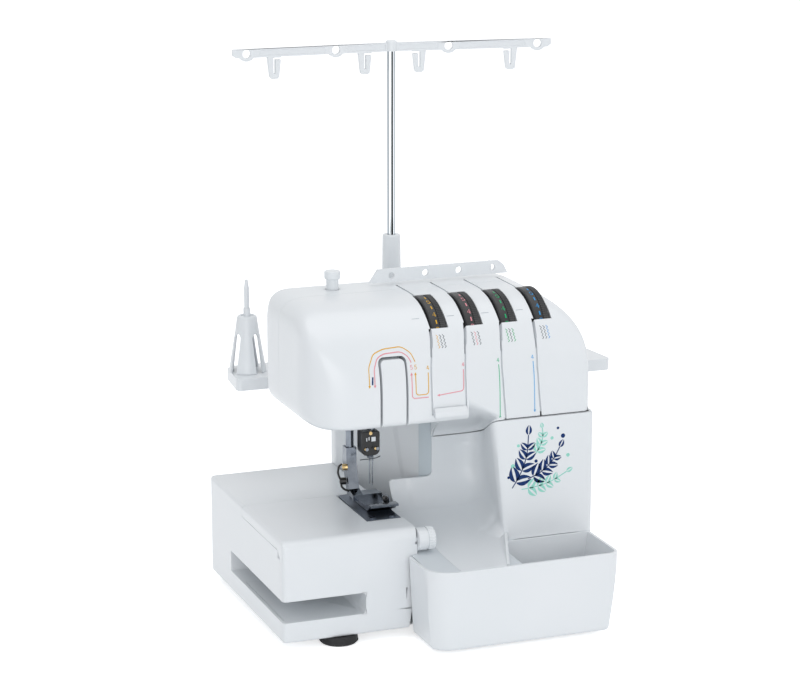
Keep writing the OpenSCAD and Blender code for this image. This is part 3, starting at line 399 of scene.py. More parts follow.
def faceOutward(ob):
    return edit(ob, lambda bm: bmesh.ops.recalc_face_normals(bm, faces=bm.faces))


# boolean with each cutter in turn; the cutters are used up
def carve(ob, cutters, how="DIFFERENCE", solver="EXACT"):
    for cutter in cutters:
        faceOutward(cutter)
        tool = ob.modifiers.new("carve", "BOOLEAN")
        tool.operation = how
        tool.solver = solver
        tool.object = cutter
        settle(ob)
        bpy.data.objects.remove(cutter)
    return ob


# joins several objects into one, each keeping its own surface
def merge(name, parts):
    bm = bmesh.new()
    for part in parts:
        bm.from_mesh(part.data)
    mesh = bpy.data.meshes.new(name)
    bm.to_mesh(mesh)
    bm.free()
    for part in parts:
        bpy.data.objects.remove(part)
    ob = bpy.data.objects.new(name, mesh)
    bpy.context.scene.collection.objects.link(ob)
    return ob


# rounds the sharp edges, or only those whose middle pick() accepts, by width in millimetres
def roundEdges(ob, width, segments=3, angle=28, pick=None, clamp=True):
    def work(bm):
        bmesh.ops.remove_doubles(bm, verts=bm.verts, dist=2e-6)
        bmesh.ops.dissolve_limit(bm, angle_limit=math.radians(1.5), verts=bm.verts, edges=bm.edges)
        sharp = []
        for edge in bm.edges:
            if len(edge.link_faces) != 2 or edge.calc_face_angle(0) < math.radians(angle):
                continue
            middle = (edge.verts[0].co + edge.verts[1].co) * 500
            spot = (middle.x - bedCorner[0], middle.y - bedCorner[1], middle.z)
            if pick is None or pick(*spot):
                sharp.append(edge)
        bmesh.ops.bevel(bm, geom=sharp, offset=width / 1000, segments=segments, profile=0.5,
                        affect="EDGES", clamp_overlap=clamp)
    return edit(ob, work)


# smooth shading that keeps edges sharper than the angle
def smoothOut(ob, angle=35):
    for polygon in ob.data.polygons:
        polygon.use_smooth = True
    ob.data.set_sharp_from_angle(angle=math.radians(angle))
    return ob


# lets the broad faces lead the shading at rounded edges
def evenShading(ob):
    lead = ob.modifiers.new("evenShading", "WEIGHTED_NORMAL")
    lead.keep_sharp = True
    lead.weight = 50
    return settle(ob)


# gives a piece its finish, its body and the nodes it stands for
def dressed(ob, body, slotName, stands=(), look=None, angle=35):
    ob.data.validate()
    ob.data.materials.clear()
    ob.data.materials.append(look or finishes[slotName])
    smoothOut(ob, angle)
    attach(ob, body)
    if stands:
        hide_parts(*stands)
    return ob


# solid from an outline drawn in the two other axes, from low to high along the axis
def prism(name, outline, axis, low, high):
    count = len(outline)
    order = {"x": lambda u, v, w: (w, u, v),
             "y": lambda u, v, w: (u, w, v),
             "z": lambda u, v, w: (u, v, w)}[axis]
    points = [order(u, v, low) for u, v in outline] + [order(u, v, high) for u, v in outline]
    faces = [list(range(count)), list(range(2 * count - 1, count - 1, -1))]
    faces += [(i, (i + 1) % count, (i + 1) % count + count, i + count) for i in range(count)]
    return faceOutward(newPiece(name, points, faces))


def block(name, low, high):
    return prism(name, [(low[0], low[1]), (high[0], low[1]), (high[0], high[1]), (low[0], high[1])],
                 "z", low[2], high[2])


# points on an arc, angles in degrees
def arcPoints(centre, radius, start, end, steps):
    return [(centre[0] + radius * math.cos(math.radians(start + (end - start) * i / steps)),
             centre[1] + radius * math.sin(math.radians(start + (end - start) * i / steps)))
            for i in range(steps + 1)]


# outline of a rectangle whose corners, from the lower left anticlockwise, have their own radii
def roundedBox2d(low, high, radii, steps=6):
    spots = [(low[0], low[1], 1, 1, 180), (high[0], low[1], -1, 1, 270),
             (high[0], high[1], -1, -1, 0), (low[0], high[1], 1, -1, 90)]
    out = []
    for (x, y, sx, sy, start), r in zip(spots, radii):
        if r > 0:
            out += arcPoints((x + sx * r, y + sy * r), r, start, start + 90, steps)
        else:
            out.append((x, y))
    return out


# surface of revolution; the profile gives (radius, height) along the way from the foot
def turned(name, profile, foot, way=(0, 0, 1), steps=48):
    axis = Vector(way).normalized()
    side = axis.orthogonal().normalized()
    other = axis.cross(side)
    points, rings = [], []
    for radius, height in profile:
        if radius < 1e-6:
            rings.append([len(points)])
            points.append(Vector(foot) + axis * height)
            continue
        rings.append(list(range(len(points), len(points) + steps)))
        for i in range(steps):
            a = 2 * math.pi * i / steps
            points.append(Vector(foot) + axis * height + (side * math.cos(a) + other * math.sin(a)) * radius)
    faces = []
    for low, high in zip(rings, rings[1:]):
        for i in range(steps):
            j = (i + 1) % steps
            if len(low) == 1 and len(high) == 1:
                continue
            if len(low) == 1:
                faces.append((low[0], high[j], high[i]))
            elif len(high) == 1:
                faces.append((low[i], low[j], high[0]))
            else:
                faces.append((low[i], low[j], high[j], high[i]))
    for ring in (rings[0], rings[-1]):
        if len(ring) > 1:
            faces.append(ring)
    return faceOutward(newPiece(name, [tuple(p) for p in points], faces))


# round wire along a path of points in millimetres
def tube(name, path, radius, steps=10, closed=False):
    curve = bpy.data.curves.new(name, "CURVE")
    curve.dimensions = "3D"
    curve.bevel_depth = radius / 1000
    curve.bevel_resolution = steps // 4
    curve.use_fill_caps = True
    line = curve.splines.new("POLY")
    line.points.add(len(path) - 1)
    for spot, (x, y, z) in zip(line.points, path):
        spot.co = (*at(x, y, z), 1)
    line.use_cyclic_u = closed
    holder = bpy.data.objects.new(name, curve)
    bpy.context.scene.collection.objects.link(holder)
    bpy.context.view_layer.update()
    view = bpy.context.evaluated_depsgraph_get()
    mesh = bpy.data.meshes.new_from_object(holder.evaluated_get(view))
    bpy.data.objects.remove(holder)
    ob = bpy.data.objects.new(name, mesh)
    bpy.context.scene.collection.objects.link(ob)
    return ob


# polyline whose inner corners are rounded
def bendPath(points, radius, steps=6):
    out = [np.array(points[0], float)]
    for before, corner, after in zip(points, points[1:], points[2:]):
        corner = np.array(corner, float)
        inward = np.array(before, float) - corner
        onward = np.array(after, float) - corner
        reach = min(radius, np.linalg.norm(inward) / 2, np.linalg.norm(onward) / 2)
        start = corner + inward / np.linalg.norm(inward) * reach
        end = corner + onward / np.linalg.norm(onward) * reach
        for i in range(steps + 1):
            t = i / steps
            out.append((1 - t) ** 2 * start + 2 * t * (1 - t) * corner + t * t * end)
    out.append(np.array(points[-1], float))
    return out


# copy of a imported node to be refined
def copyOf(node, name):
    source = frame["nodes"][node]
    ob = bpy.data.objects.new(name, source.data.copy())
    bpy.context.scene.collection.objects.link(ob)
    return ob


def bodyOf(node):
    return frame["nodes"][node]["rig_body"]


# a node's own form with its edges rounded and a finish of its slot
def refined(node, name, width, segments=3, angle=28, pick=None):
    ob = roundEdges(copyOf(node, name), width, segments, angle, pick)
    return evenShading(dressed(ob, bodyOf(node), nodeSlot[node], [node]))


# head: one moulded skin, cut into its housings

# distance to a rectangle whose corners, from the lower left anticlockwise, have their own radii
def cornered(u, v, low, high, radii):
    left, right, under, over = low[0] - u, u - high[0], low[1] - v, v - high[1]
    d = np.maximum(np.maximum(left, right), np.maximum(under, over))
    spots = [(low[0], low[1], -1, -1, right, over), (high[0], low[1], 1, -1, left, over),
             (high[0], high[1], 1, 1, left, under), (low[0], high[1], -1, 1, right, under)]
    for (x, y, sx, sy, farU, farV), r in zip(spots, radii):
        cu, cv = x - sx * r, y - sy * r
        inside = (sx * (u - cu) > 0) & (sy * (v - cv) > 0)
        rounded = np.maximum(np.hypot(u - cu, v - cv) - r, np.maximum(farU, farV))
        d = np.where(inside, rounded, d)
    return d


# the larger of two distances, softened over k where they meet
def blendMax(a, b, k):
    h = np.maximum(k - np.abs(a - b), 0) / k
    return np.maximum(a, b) + h * h * k / 4


head = {
    "low": (29.0, 7.0, 184.0),
    "high": (291.0, 150.0, 288.0),
    "crown": 80.0,
    "soften": 9.0,
    "wall": 2.4,
    "step": 2.6,
    "split": 100.0,
    "turnUnder": (0.6, 6.4, 208.0, 22.0),  # lower front edge: least radius, how much more, from x, over
    "sink": (14.0, 196.0, 10.0),  # how much lower the right part reaches, from x, over
    "rearCorners": (2.0, 14.0),
    "planCorners": (46.0, 9.0, 6.0, 24.0),
    "frontCorners": (20.0, 0.5, 58.0, 27.0),
    "core": ((62, 56, 40), (62, 30, 52)),  # how far the skin's core stands inside the box
    "barHole": ((100, 81, 180), (126, 99, 188)),
    "openFloor": ((226, 11, 180), (288, 100.5, 187.2)),
    "openFloorRear": ((170, 100, 180), (288, 147, 187.2)),
    "columnTop": 183.9,
    "knobHole": 6.6,
}
crownCentre = (head["low"][1] + head["crown"], head["high"][2] - head["crown"])


# signed distance to the head's outer skin, in millimetres
def headField(x, y, z):
    low, high = head["low"], head["high"]
    least, more, start, run = head["turnUnder"]
    turnUnder = least + more * np.clip((start - x) / run, 0, 1)
    drop, start, run = head["sink"]
    sink = drop * np.clip((x - start) / run, 0, 1)
    sideCorners = (turnUnder, *head["rearCorners"], head["crown"])
    side = cornered(y, z, (low[1], low[2] - sink), (high[1], high[2]), sideCorners)
    plan = cornered(x, y, (low[0], low[1]), (high[0], high[1]), head["planCorners"])
    front = cornered(x, z, (low[0], low[2] - sink), (high[0], high[2]), head["frontCorners"])
    return blendMax(blendMax(side, plan, head["soften"]), front, head["soften"])


# welded grid over the surface of a box: points and four-sided faces
def boxGrid(low, high, step):
    counts = [max(2, round((h - l) / step)) for l, h in zip(low, high)]
    found, points, faces = {}, [], []

    def corner(i, j, k):
        key = (i, j, k)
        if key not in found:
            found[key] = len(points)
            points.append([l + (h - l) * n / c for l, h, n, c in zip(low, high, key, counts)])
        return found[key]

    for axis in range(3):
        a, b = [n for n in range(3) if n != axis]
        for side in (0, counts[axis]):
            for i in range(counts[a]):
                for j in range(counts[b]):
                    quad = []
                    for di, dj in ((0, 0), (1, 0), (1, 1), (0, 1)):
                        key = [0, 0, 0]
                        key[axis], key[a], key[b] = side, i + di, j + dj
                        quad.append(corner(*key))
                    faces.append(quad)
    return np.array(points), faces


# draws each point in from its box towards the core until it meets the field's skin
def fitted(points, core, field):
    heart = np.clip(points, core[0], core[1])
    near, far = np.zeros(len(points)), np.ones(len(points))
    for _ in range(30):
        middle = (near + far) / 2
        spot = heart + (points - heart) * middle[:, None]
        inside = field(spot[:, 0], spot[:, 1], spot[:, 2]) < 0
        near = np.where(inside, middle, near)
        far = np.where(inside, far, middle)
    return heart + (points - heart) * near[:, None]


# the whole head as a hollow skin
def headSkin(name, inset=0.0):
    low, high = np.array(head["low"]), np.array(head["high"])
    grid, faces = boxGrid(low, high, head["step"])
    core = (low + head["core"][0], high - head["core"][1])
    outer = fitted(grid, core, lambda x, y, z: headField(x, y, z) + inset)
    wall = inset + head["wall"]
    inner = fitted(grid, core, lambda x, y, z: np.maximum(headField(x, y, z) + wall, low[2] + wall - z))
    count = len(grid)
    lining = [[n + count for n in face][::-1] for face in faces]
    return newPiece(name, np.vstack([outer, inner]), [list(f) for f in faces] + lining)


# depth of the head's front surface at x and z, a little proud of it by lift
def frontFace(x, z, lift=0.0):
    x, z = np.broadcast_arrays(np.asarray(x, float), np.asarray(z, float))
    near = np.full(x.shape, head["low"][1] - 1.0)
    far = np.full(x.shape, head["split"])
    for _ in range(30):
        middle = (near + far) / 2
        outside = headField(x, middle, z) > lift
        near = np.where(outside, middle, near)
        far = np.where(outside, far, middle)
    return (near + far) / 2


# side view of the head's front from the level low up over the crown to an angle about its centre
def crownPath(low, highAngle, lift, steps=24):
    r = head["crown"] + lift
    path = [(head["low"][1] - lift, low)] if low < crownCentre[1] else []
    climb = min(1.0, max(0.0, (low - crownCentre[1]) / head["crown"]))
    start = 180 - math.degrees(math.asin(climb))
    return path + arcPoints(crownCentre, r, start, highAngle, steps)


# cutter or strip that follows the head's front between two depths
def crownBand(name, x0, x1, low, highAngle, lift, depth):
    outline = crownPath(low, highAngle, lift) + crownPath(low, highAngle, -depth)[::-1]
    return prism(name, outline, "x", x0, x1)


dials = {
    "x": [147.3, 179.7, 212.1, 244.5],
    "width": 14.4,
    "radius": 42.0,
    "centre": (67.5, 243.6),
    "window": (99.5, 134.7),
    "groove": 1.7,
    "grooves": [
        [(145.3, 264.8), (143.9, 256.9), (141.5, 247.9), (139.4, 237.0), (138.7, 228.0), (138.7, 210.4),
         (139.9, 194.0)],
        [(178.2, 267.1), (175.6, 258.0), (172.7, 248.2), (170.9, 237.0), (170.2, 228.6), (170.3, 213.6),
         (170.9, 194.0)],
        [(211.1, 265.3), (208.6, 256.5), (206.3, 248.3), (204.8, 238.0), (204.3, 228.6), (205.7, 207.3),
         (208.2, 181.0)],
        [(241.9, 265.8), (240.7, 258.0), (239.6, 251.3), (238.2, 240.0), (237.5, 228.7), (238.8, 207.1),
         (241.6, 181.0)],
    ],
    "inks": ["yellow", "pink", "green", "blue"],
    "slit": (1.3, 0.6, 64),  # left and right of the dial's x, and the angle where it ends
    "margin": (1.9, 0.8),
    "gapBelow": (250, 2.6),  # over this level the groove opens right through, this wide
    "gapEnd": (243, 252, 1.7),
    "colouredStitches": [(0,), (1,), (0, 2), (2,)],
}


def crownLevel(angle):
    return crownCentre[1] + head["crown"] * math.sin(math.radians(angle))


def slitCutters():
    left, right, highest = dials["slit"]
    low = crownLevel(dials["window"][0]) - 1
    return [crownBand("slit", x - left, x + right, low, highest, 3, 5) for x in dials["x"]]


# windows, thread slits and grooves for the four threads
def crownCutters():
    cutters = slitCutters()
    top, low = dials["window"]
    left, right = dials["margin"]
    openFrom, openWidth = dials["gapBelow"]
    endLow, endHigh, endWidth = dials["gapEnd"]
    for n, x in enumerate(dials["x"]):
        cutters.append(crownBand("window", x - left, x + dials["width"] + right, crownLevel(low), top, 3, 9))
        path = resampled(dials["grooves"][n], 1.5)
        cutters.append(ribbon("groove", path, dials["groove"], onHead, 1.2, 2.25))
        openPart = [p for p in path if p[1] > openFrom]
        cutters.append(ribbon("gapBelow", openPart, openWidth, onHead, 1.0, 5.0))
        endPart = [p for p in path if endLow < p[1] < endHigh]
        cutters.append(ribbon("gapEnd", endPart, endWidth, onHead, 1.1, 5.2))
    return cutters


takeUp = {
    "opening": (92.0, 117.6, 247.2),
    "corner": 5.0,
    "cover": (94.2, 115.6, 244.8),
}


def takeUpOpening(name, x0, x1, top, corner, y0=0.0, y1=33.0):
    outline = [(x0, 180)] + [(x1, 180)] + arcPoints((x1 - corner, top - corner), corner, 0, 90, 5)
    outline += arcPoints((x0 + corner, top - corner), corner, 90, 180, 5)
    return prism(name, outline, "y", y0, y1)


def buildHead():
    x0, x1, top = takeUp["opening"]
    front = headSkin("frontHousing")
    faceOutward(front)
    keep = block("keepFront", (0, -5, 170), (300, head["split"] - 0.2, 300))
    carve(front, [keep], "INTERSECT")
    carve(front, crownCutters())
    carve(front, [takeUpOpening("takeUpGap", x0, x1, top, takeUp["corner"])])
    carve(front, [block("barHole", *head["barHole"])])
    carve(front, [block("openFloor", *head["openFloor"])])
    x0, x1 = sweep["span"]
    foot = [(x0, 170), (x1, 170), (x1, sweep["levels"][1]), (x0, sweep["levels"][0])]
    carve(front, [prism("sweepRoom", foot, "y", -5, 100.5)])
    lipLow, lipHigh = panelEnd["span"]
    carve(front, [block("panelEnd", (lipLow, 0, 180), (lipHigh, 8.8, panelEnd["under"]))])
    smoothOut(front, 30)
    piece = merge("frontHousing", [front] + headSweep() + panelLip())
    dressed(piece, "root", "white_plastic", ["front_housing"], angle=30)

    rear = headSkin("rearHousing")
    faceOutward(rear)
    carve(rear, [block("keepRear", (0, head["split"] + 0.1, 170), (300, 160, 300))], "INTERSECT")
    knob = spanOf("pressure_knob")
    radius = head["knobHole"]
    hole = turned("knobHole", [(0, 0), (radius, 0), (radius, 30), (0, 30)],
                  ((knob[0][0] + knob[1][0]) / 2, (knob[0][1] + knob[1][1]) / 2, 270))
    carve(rear, [hole, block("openFloorRear", *head["openFloorRear"])] + slitCutters())
    column = copyOf("rear_housing", "column")
    carve(column, [block("aboveColumn", (0, 0, head["columnTop"]), (300, 300, 300))])
    roundEdges(column, 0.8)
    piece = merge("rearHousing", [rear, column])
    dressed(piece, "root", "white_plastic", ["rear_housing"], angle=30)

    cover = headSkin("takeUpCover")
    faceOutward(cover)
    c0, c1, cTop = takeUp["cover"]
    carve(cover, [takeUpOpening("coverShape", c0, c1, cTop, takeUp["corner"] - 1)], "INTERSECT")
    dressed(cover, "root", "white_plastic", ["take_up_cover"], angle=30)


# printed lines and figures

# flat printed stroke along a path of (u, v), laid on a surface by place(u, v, lift)
def ribbon(name, path, width, place, lift=0.14, depth=0.12):
    path = np.array(path, float)
    along = np.gradient(path, axis=0)
    along /= np.maximum(np.linalg.norm(along, axis=1), 1e-9)[:, None]
    side = np.stack([-along[:, 1], along[:, 0]], axis=1) * width / 2
    rows = []
    for edge, height in ((side, lift), (-side, lift), (-side, -depth), (side, -depth)):
        spot = path + edge
        rows.append(place(spot[:, 0], spot[:, 1], height))
    points = np.concatenate(rows)
    count = len(path)
    faces = []
    for i in range(count - 1):
        for row in range(4):
            after = (row + 1) % 4
            here, there = row * count + i, after * count + i
            faces.append((here, here + 1, there + 1, there))
    faces.append([row * count for row in range(4)])
    faces.append([row * count + count - 1 for row in range(3, -1, -1)])
    return faceOutward(newPiece(name, points, faces))


# printed flat shape from a closed outline of (u, v)
def patch(name, outline, place, lift=0.14, depth=0.12):
    outline = np.array(outline, float)
    top = place(outline[:, 0], outline[:, 1], lift)
    low = place(outline[:, 0], outline[:, 1], -depth)
    count = len(outline)
    faces = [list(range(count)), list(range(2 * count - 1, count - 1, -1))]
    faces += [(i, (i + 1) % count, (i + 1) % count + count, i + count) for i in range(count)]
    return faceOutward(newPiece(name, np.vstack([top, low]), faces))


def onHead(x, z, lift):
    y = frontFace(x, z, lift)
    return np.stack([x, y, z], axis=1)


# the same path with a point about every step
def resampled(path, step=1.0):
    out = []
    for a, b in zip(path, path[1:]):
        a, b = np.array(a, float), np.array(b, float)
        count = max(1, int(np.linalg.norm(b - a) / step))
        out += [a + (b - a) * i / count for i in range(count)]
    out.append(np.array(path[-1], float))
    return out


figures = {
    "3": [(0.1, 0.85), (0.35, 1), (0.7, 0.97), (0.88, 0.78), (0.7, 0.57), (0.45, 0.53), (0.72, 0.48),
          (0.92, 0.27), (0.72, 0.05), (0.38, 0), (0.08, 0.14)],
    "4": [(0.66, 0), (0.66, 1), (0.02, 0.32), (0.98, 0.32)],
    "5": [(0.88, 1), (0.2, 1), (0.14, 0.54), (0.5, 0.64), (0.84, 0.5), (0.9, 0.24), (0.66, 0.02), (0.32, 0),
          (0.06, 0.14)],
}


def printFigure(sign, u, v, wide, tall, stroke, place):
    path = [(u + (a - 0.5) * wide, v + (b - 0.5) * tall) for a, b in figures[sign]]
    return ribbon("figure", resampled(path, 0.6), stroke, place)


threading = {
    "stroke": 0.75,
    "bend": 3.0,
    "figure": (2.3, 3.4, 0.42),
    "arrow": (1.15, 2.9),
    "lines": [
        ("yellow", [(82.5, 224.6), (82.8, 240), (88.5, 250.2), (98, 253.4), (114.8, 254.2), (122.5, 249),
                    (125.3, 241.5)], "start"),
        ("pink", [(87.4, 224.6), (87.6, 238.5), (91.6, 247), (98, 249.8), (113.6, 250.4), (119.4, 246.6),
                  (121.7, 241.2)], "start"),
        ("yellow", [(136.2, 231.8), (135.9, 213.3), (124.5, 213.3), (124.5, 231.2)], "end"),
        ("pink", [(136.0, 210.6), (121.0, 210.6), (121.0, 231.2)], "end"),
        ("pink", [(168.6, 231.8), (168.2, 213.4), (145.6, 211.4)], "end"),
        ("paleGreen", [(201.6, 233.0), (202.6, 186.4)], "end"),
        ("paleBlue", [(234.0, 233.0), (235.2, 189.4)], "end"),
    ],
    "figures": [
        ("5", "pink", 121.4, 237.3), ("5", "yellow", 125.2, 237.2), ("4", "yellow", 136.2, 235.8),
        ("4", "pink", 168.8, 235.8), ("4", "paleGreen", 201.4, 236.6), ("4", "paleBlue", 233.8, 236.6),
    ],
    "tab": {"path": [(85.2, 225.6), (85.8, 232.2)], "wide": 1.3},
    "index": {"from": 15.2, "to": 8.5, "level": 272.7, "wide": 0.3},
    "stitch": {"start": 1.6, "apart": 2.9, "left": 0.1, "right": 1.5, "top": 260.2, "drop": 1.25, "points": 9,
               "wide": 0.5},
}


def printThreading():
    byInk = {}

    def keep(ink, piece):
        byInk.setdefault(ink, []).append(piece)

    stroke = threading["stroke"]
    half, length = threading["arrow"]
    for ink, path, arrow in threading["lines"]:
        soft = bendPath(path, threading["bend"])
        keep(ink, ribbon("line", resampled(soft, 1.2), stroke, onHead))
        tip, before = (path[0], path[1]) if arrow == "start" else (path[-1], path[-2])
        way = np.array(tip, float) - np.array(before, float)
        way /= np.linalg.norm(way)
        side = np.array([-way[1], way[0]])
        base = np.array(tip) - way * 0.5
        arrowHead = [base + side * half, base - side * half, base + way * (length - 0.5)]
        keep(ink, patch("arrow", arrowHead, onHead))
    wide, tall, thin = threading["figure"]
    for sign, ink, x, z in threading["figures"]:
        keep(ink, printFigure(sign, x, z, wide, tall, thin, onHead))
    tab, index, stitch = threading["tab"], threading["index"], threading["stitch"]
    keep("navy", ribbon("tab", resampled(tab["path"], 1), tab["wide"], onHead))
    for n, x in enumerate(dials["x"]):
        mark = [(x - index["from"], index["level"]), (x - index["to"], index["level"])]
        keep("faint", ribbon("index", resampled(mark, 1), index["wide"], onHead))
        for column in range(3):
            ink = dials["inks"][n] if column in dials["colouredStitches"][n] else "grey"
            left = x + stitch["start"] + column * stitch["apart"]
            zig = [(left + (stitch["right"] if i % 2 else stitch["left"]), stitch["top"] - stitch["drop"] * i)
                   for i in range(stitch["points"])]
            keep(ink, ribbon("stitch", zig, stitch["wide"], onHead))
    for ink, parts in byInk.items():
        piece = merge("threading_" + ink, parts)
        dressed(piece, "root", "white_plastic", look=inks[ink])


printThreading()
print("threading lines are printed")


# tension dials

def dialSurface(x, angle, lift):
    r = dials["radius"] + lift
    a = np.radians(angle)
    y0, z0 = dials["centre"]
    return np.stack([x, y0 + r * np.cos(a), z0 + r * np.sin(a)], axis=1)


dialShape = {
    "rings": [(0, 10, 0), (0, 40.6, 0), (0.8, 41.6, 0), (7.4, 41.6, 0), (7.7, 41.0, 0), (8.2, 41.0, 0),
              (8.4, 41.9, 0.5), (13.4, 41.9, 0.5), (13.9, 41.2, 0.3), (14.4, 40.2, 0), (14.4, 34, 0),
              (9, 33, 0), (9, 10, 0)],
    "teeth": 132,
    "marks": [("bar", 98), ("5", 109), ("bar", 120), ("4", 131), ("bar", 141.5), ("3", 151.5)],
    "markAt": 5.6,
    "mark": (-0.25, 0.3),  # how high a mark lies over the rim, and how deep it reaches
    "bar": {"angles": (-2.6, -1, 1, 2.6), "wide": 1.1},
    "sign": (3.2, 6.4, 0.62),  # width, angle it takes up, stroke
    "ribs": (104, 125.5, 147),
    "rib": {"at": 1.9, "wide": 0.75, "angle": 3.2, "stroke": 0.35, "lie": (-0.28, 0.3), "points": 15},
}


def buildDial(number):
    x0 = dials["x"][number]
    steps = dialShape["teeth"] * 2
    y0, z0 = dials["centre"]
    points = []
    for dx, r, tooth in dialShape["rings"]:
        for i in range(steps):
            a = 2 * math.pi * i / steps
            rr = r - (tooth if i % 2 else 0)
            points.append((x0 + dx, y0 + rr * math.cos(a), z0 + rr * math.sin(a)))
    rows = len(dialShape["rings"])
    faces = []
    for row in range(rows):
        here, there = row * steps, (row + 1) % rows * steps
        for i in range(steps):
            j = (i + 1) % steps
            faces.append((here + i, here + j, there + j, there + i))
    wheel = faceOutward(newPiece("tensionDial", points, faces))
    body = "dial_%d" % (number + 1)
    node = "tension_dial_%d" % (number + 1)
    wheel.name = "tensionDial%d" % (number + 1)
    dressed(wheel, body, "charcoal_dial", [node], angle=30)
    marks = []
    centre = x0 + dialShape["markAt"]
    bar, (wide, turn, stroke) = dialShape["bar"], dialShape["sign"]
    for sign, angle in dialShape["marks"]:
        if sign == "bar":
            path = [(centre, angle + d) for d in bar["angles"]]
            marks.append(ribbon("bar", path, bar["wide"], dialSurface, *dialShape["mark"]))
        else:
            path = [(centre + (a - 0.5) * wide, angle - (b - 0.5) * turn) for a, b in figures[sign]]
            marks.append(ribbon("sign", path, stroke, dialSurface, *dialShape["mark"]))
    rib = dialShape["rib"]
    for angle in dialShape["ribs"]:
        ring = [(x0 + rib["at"] + rib["wide"] * math.cos(t), angle + rib["angle"] * math.sin(t))
                for t in np.linspace(0, 2 * math.pi, rib["points"])]
        dimple = ribbon("rib", ring, rib["stroke"], dialSurface, *rib["lie"])
        dimple.name = "dialRib"
        dressed(dimple, body, "charcoal_dial", look=finishes["charcoal_dial"])
    piece = merge("dialMarks%d" % (number + 1), marks)
    dressed(piece, body, "charcoal_dial", look=inks[dials["inks"][number]])


for dialNumber in range(4):
    buildDial(dialNumber)
print("tension dials are built")


# sewing space: panel, side wall and shelf in one skin, split where the cover swings

niche = {
    "front": 8.0,
    "fascia": 98.0,
    "left": 133.2,
    "fasciaLeft": 174.0,
    "tongueTop": 111.6,
    "cornerLow": (224.0, 98.0),
    "cornerHigh": (222.5, 98.0),
    "ridgeLow": (204.5, 8.0),
    "ridgeHigh": (193.0, 8.0),
    "right": 291.0,
    "bend": 25.0,
    "nose": 13.0,
    "fillet": 17.0,
    "shelfLeft": 128.0,
    "shelfStep": (141.7, 25.8),
    "lip": (184.5, -50.8),
    "thick": 2.4,
    "low": 63.0,
    "panelEnd": 11.2,
    "panelCorner": 5.0,
    "spans": (30, 20, 26),  # points along each straight of the wall
    "bendSteps": 14,
    "uprightRows": 26,
    "filletRows": 7,
    "shelfRows": 24,
    "forward": 26,
    "fade": 8,  # points over which the fillet shrinks towards the ridge
    "filletEnd": 5.0,
    "calm": {"x": (150, 226), "behind": 30, "under": 140, "passes": 30},
}
hinge = (-50.8, 70.5, 2.6)  # depth and level of the cover's axis, radius of its lip
swing = 127.0  # reach of the cover from its axis


def shelfLevel(y):
    rise = 97.1 - hinge[1] - 2.5
    return hinge[1] + 2.5 + rise * np.power(np.clip((y - hinge[0]) / (niche["fascia"] - hinge[0]), 0, 1), 2.5)


# parting line under the head: an arc about the hinge, then a straight fall to the rear
def seamLevel(y):
    arcEnd = 18.0
    reach = np.sqrt(np.maximum((swing + 0.4) ** 2 - (np.minimum(y, arcEnd) - hinge[0]) ** 2, 0))
    return hinge[1] + reach - 0.37 * np.maximum(y - arcEnd, 0) - 0.3


# the path resampled to count points at equal distances
def evenly(path, count):
    path = np.array(path, float)
    steps = np.concatenate([[0], np.cumsum(np.linalg.norm(np.diff(path, axis=0), axis=1))])
    where = np.linspace(0, steps[-1], count)
    return np.stack([np.interp(where, steps, path[:, k]) for k in range(2)], axis=1)


# foot and head of each upright line of the wall, from the fascia's left end to the panel's right end
def nicheColumns():
    low, high = [], []
    start = (niche["left"], niche["fascia"])
    end = [(niche["right"], niche["front"]), (niche["right"], niche["panelEnd"])]
    lowRoute = [start, niche["cornerLow"], niche["ridgeLow"]] + end
    highRoute = [start, niche["cornerHigh"], niche["ridgeHigh"]] + end
    radii = [niche["bend"], niche["nose"], niche["panelCorner"]]
    spans, steps = niche["spans"], niche["bendSteps"]
    for route, out in ((lowRoute, low), (highRoute, high)):
        soft = [np.array(route[0], float)]
        for k, radius in enumerate(radii):
            corner = np.array(route[k + 1], float)
            inward = np.array(route[k], float) - corner
            onward = np.array(route[k + 2], float) - corner
            reach = [min(radius, np.linalg.norm(v) * 0.6) for v in (inward, onward)]
            start = corner + inward / np.linalg.norm(inward) * reach[0]
            end = corner + onward / np.linalg.norm(onward) * reach[1]
            straight = evenly([soft[-1], start], spans[k])[1:]
            soft += list(straight)
            for i in range(1, steps + 1):
                t = i / steps
                soft.append((1 - t) ** 2 * start + 2 * t * (1 - t) * corner + t * t * end)
        soft.append(np.array(route[-1], float))
        out += soft
    ridge = spans[0] - 1 + steps + spans[1] - 1 + steps // 2
    return np.array(low), np.array(high), ridge


def inwardNormals(line):
    along = np.gradient(line, axis=0)
    along /= np.linalg.norm(along, axis=1)[:, None]
    return np.stack([along[:, 1], -along[:, 0]], axis=1)


# true where the side wall, the fascia and the shelf run into each other
def inBend(spot):
    x, y, z = spot.x * 1000 - bedCorner[0], spot.y * 1000 - bedCorner[1], spot.z * 1000
    calm = niche["calm"]
    return calm["x"][0] < x < calm["x"][1] and y > calm["behind"] and z < calm["under"]


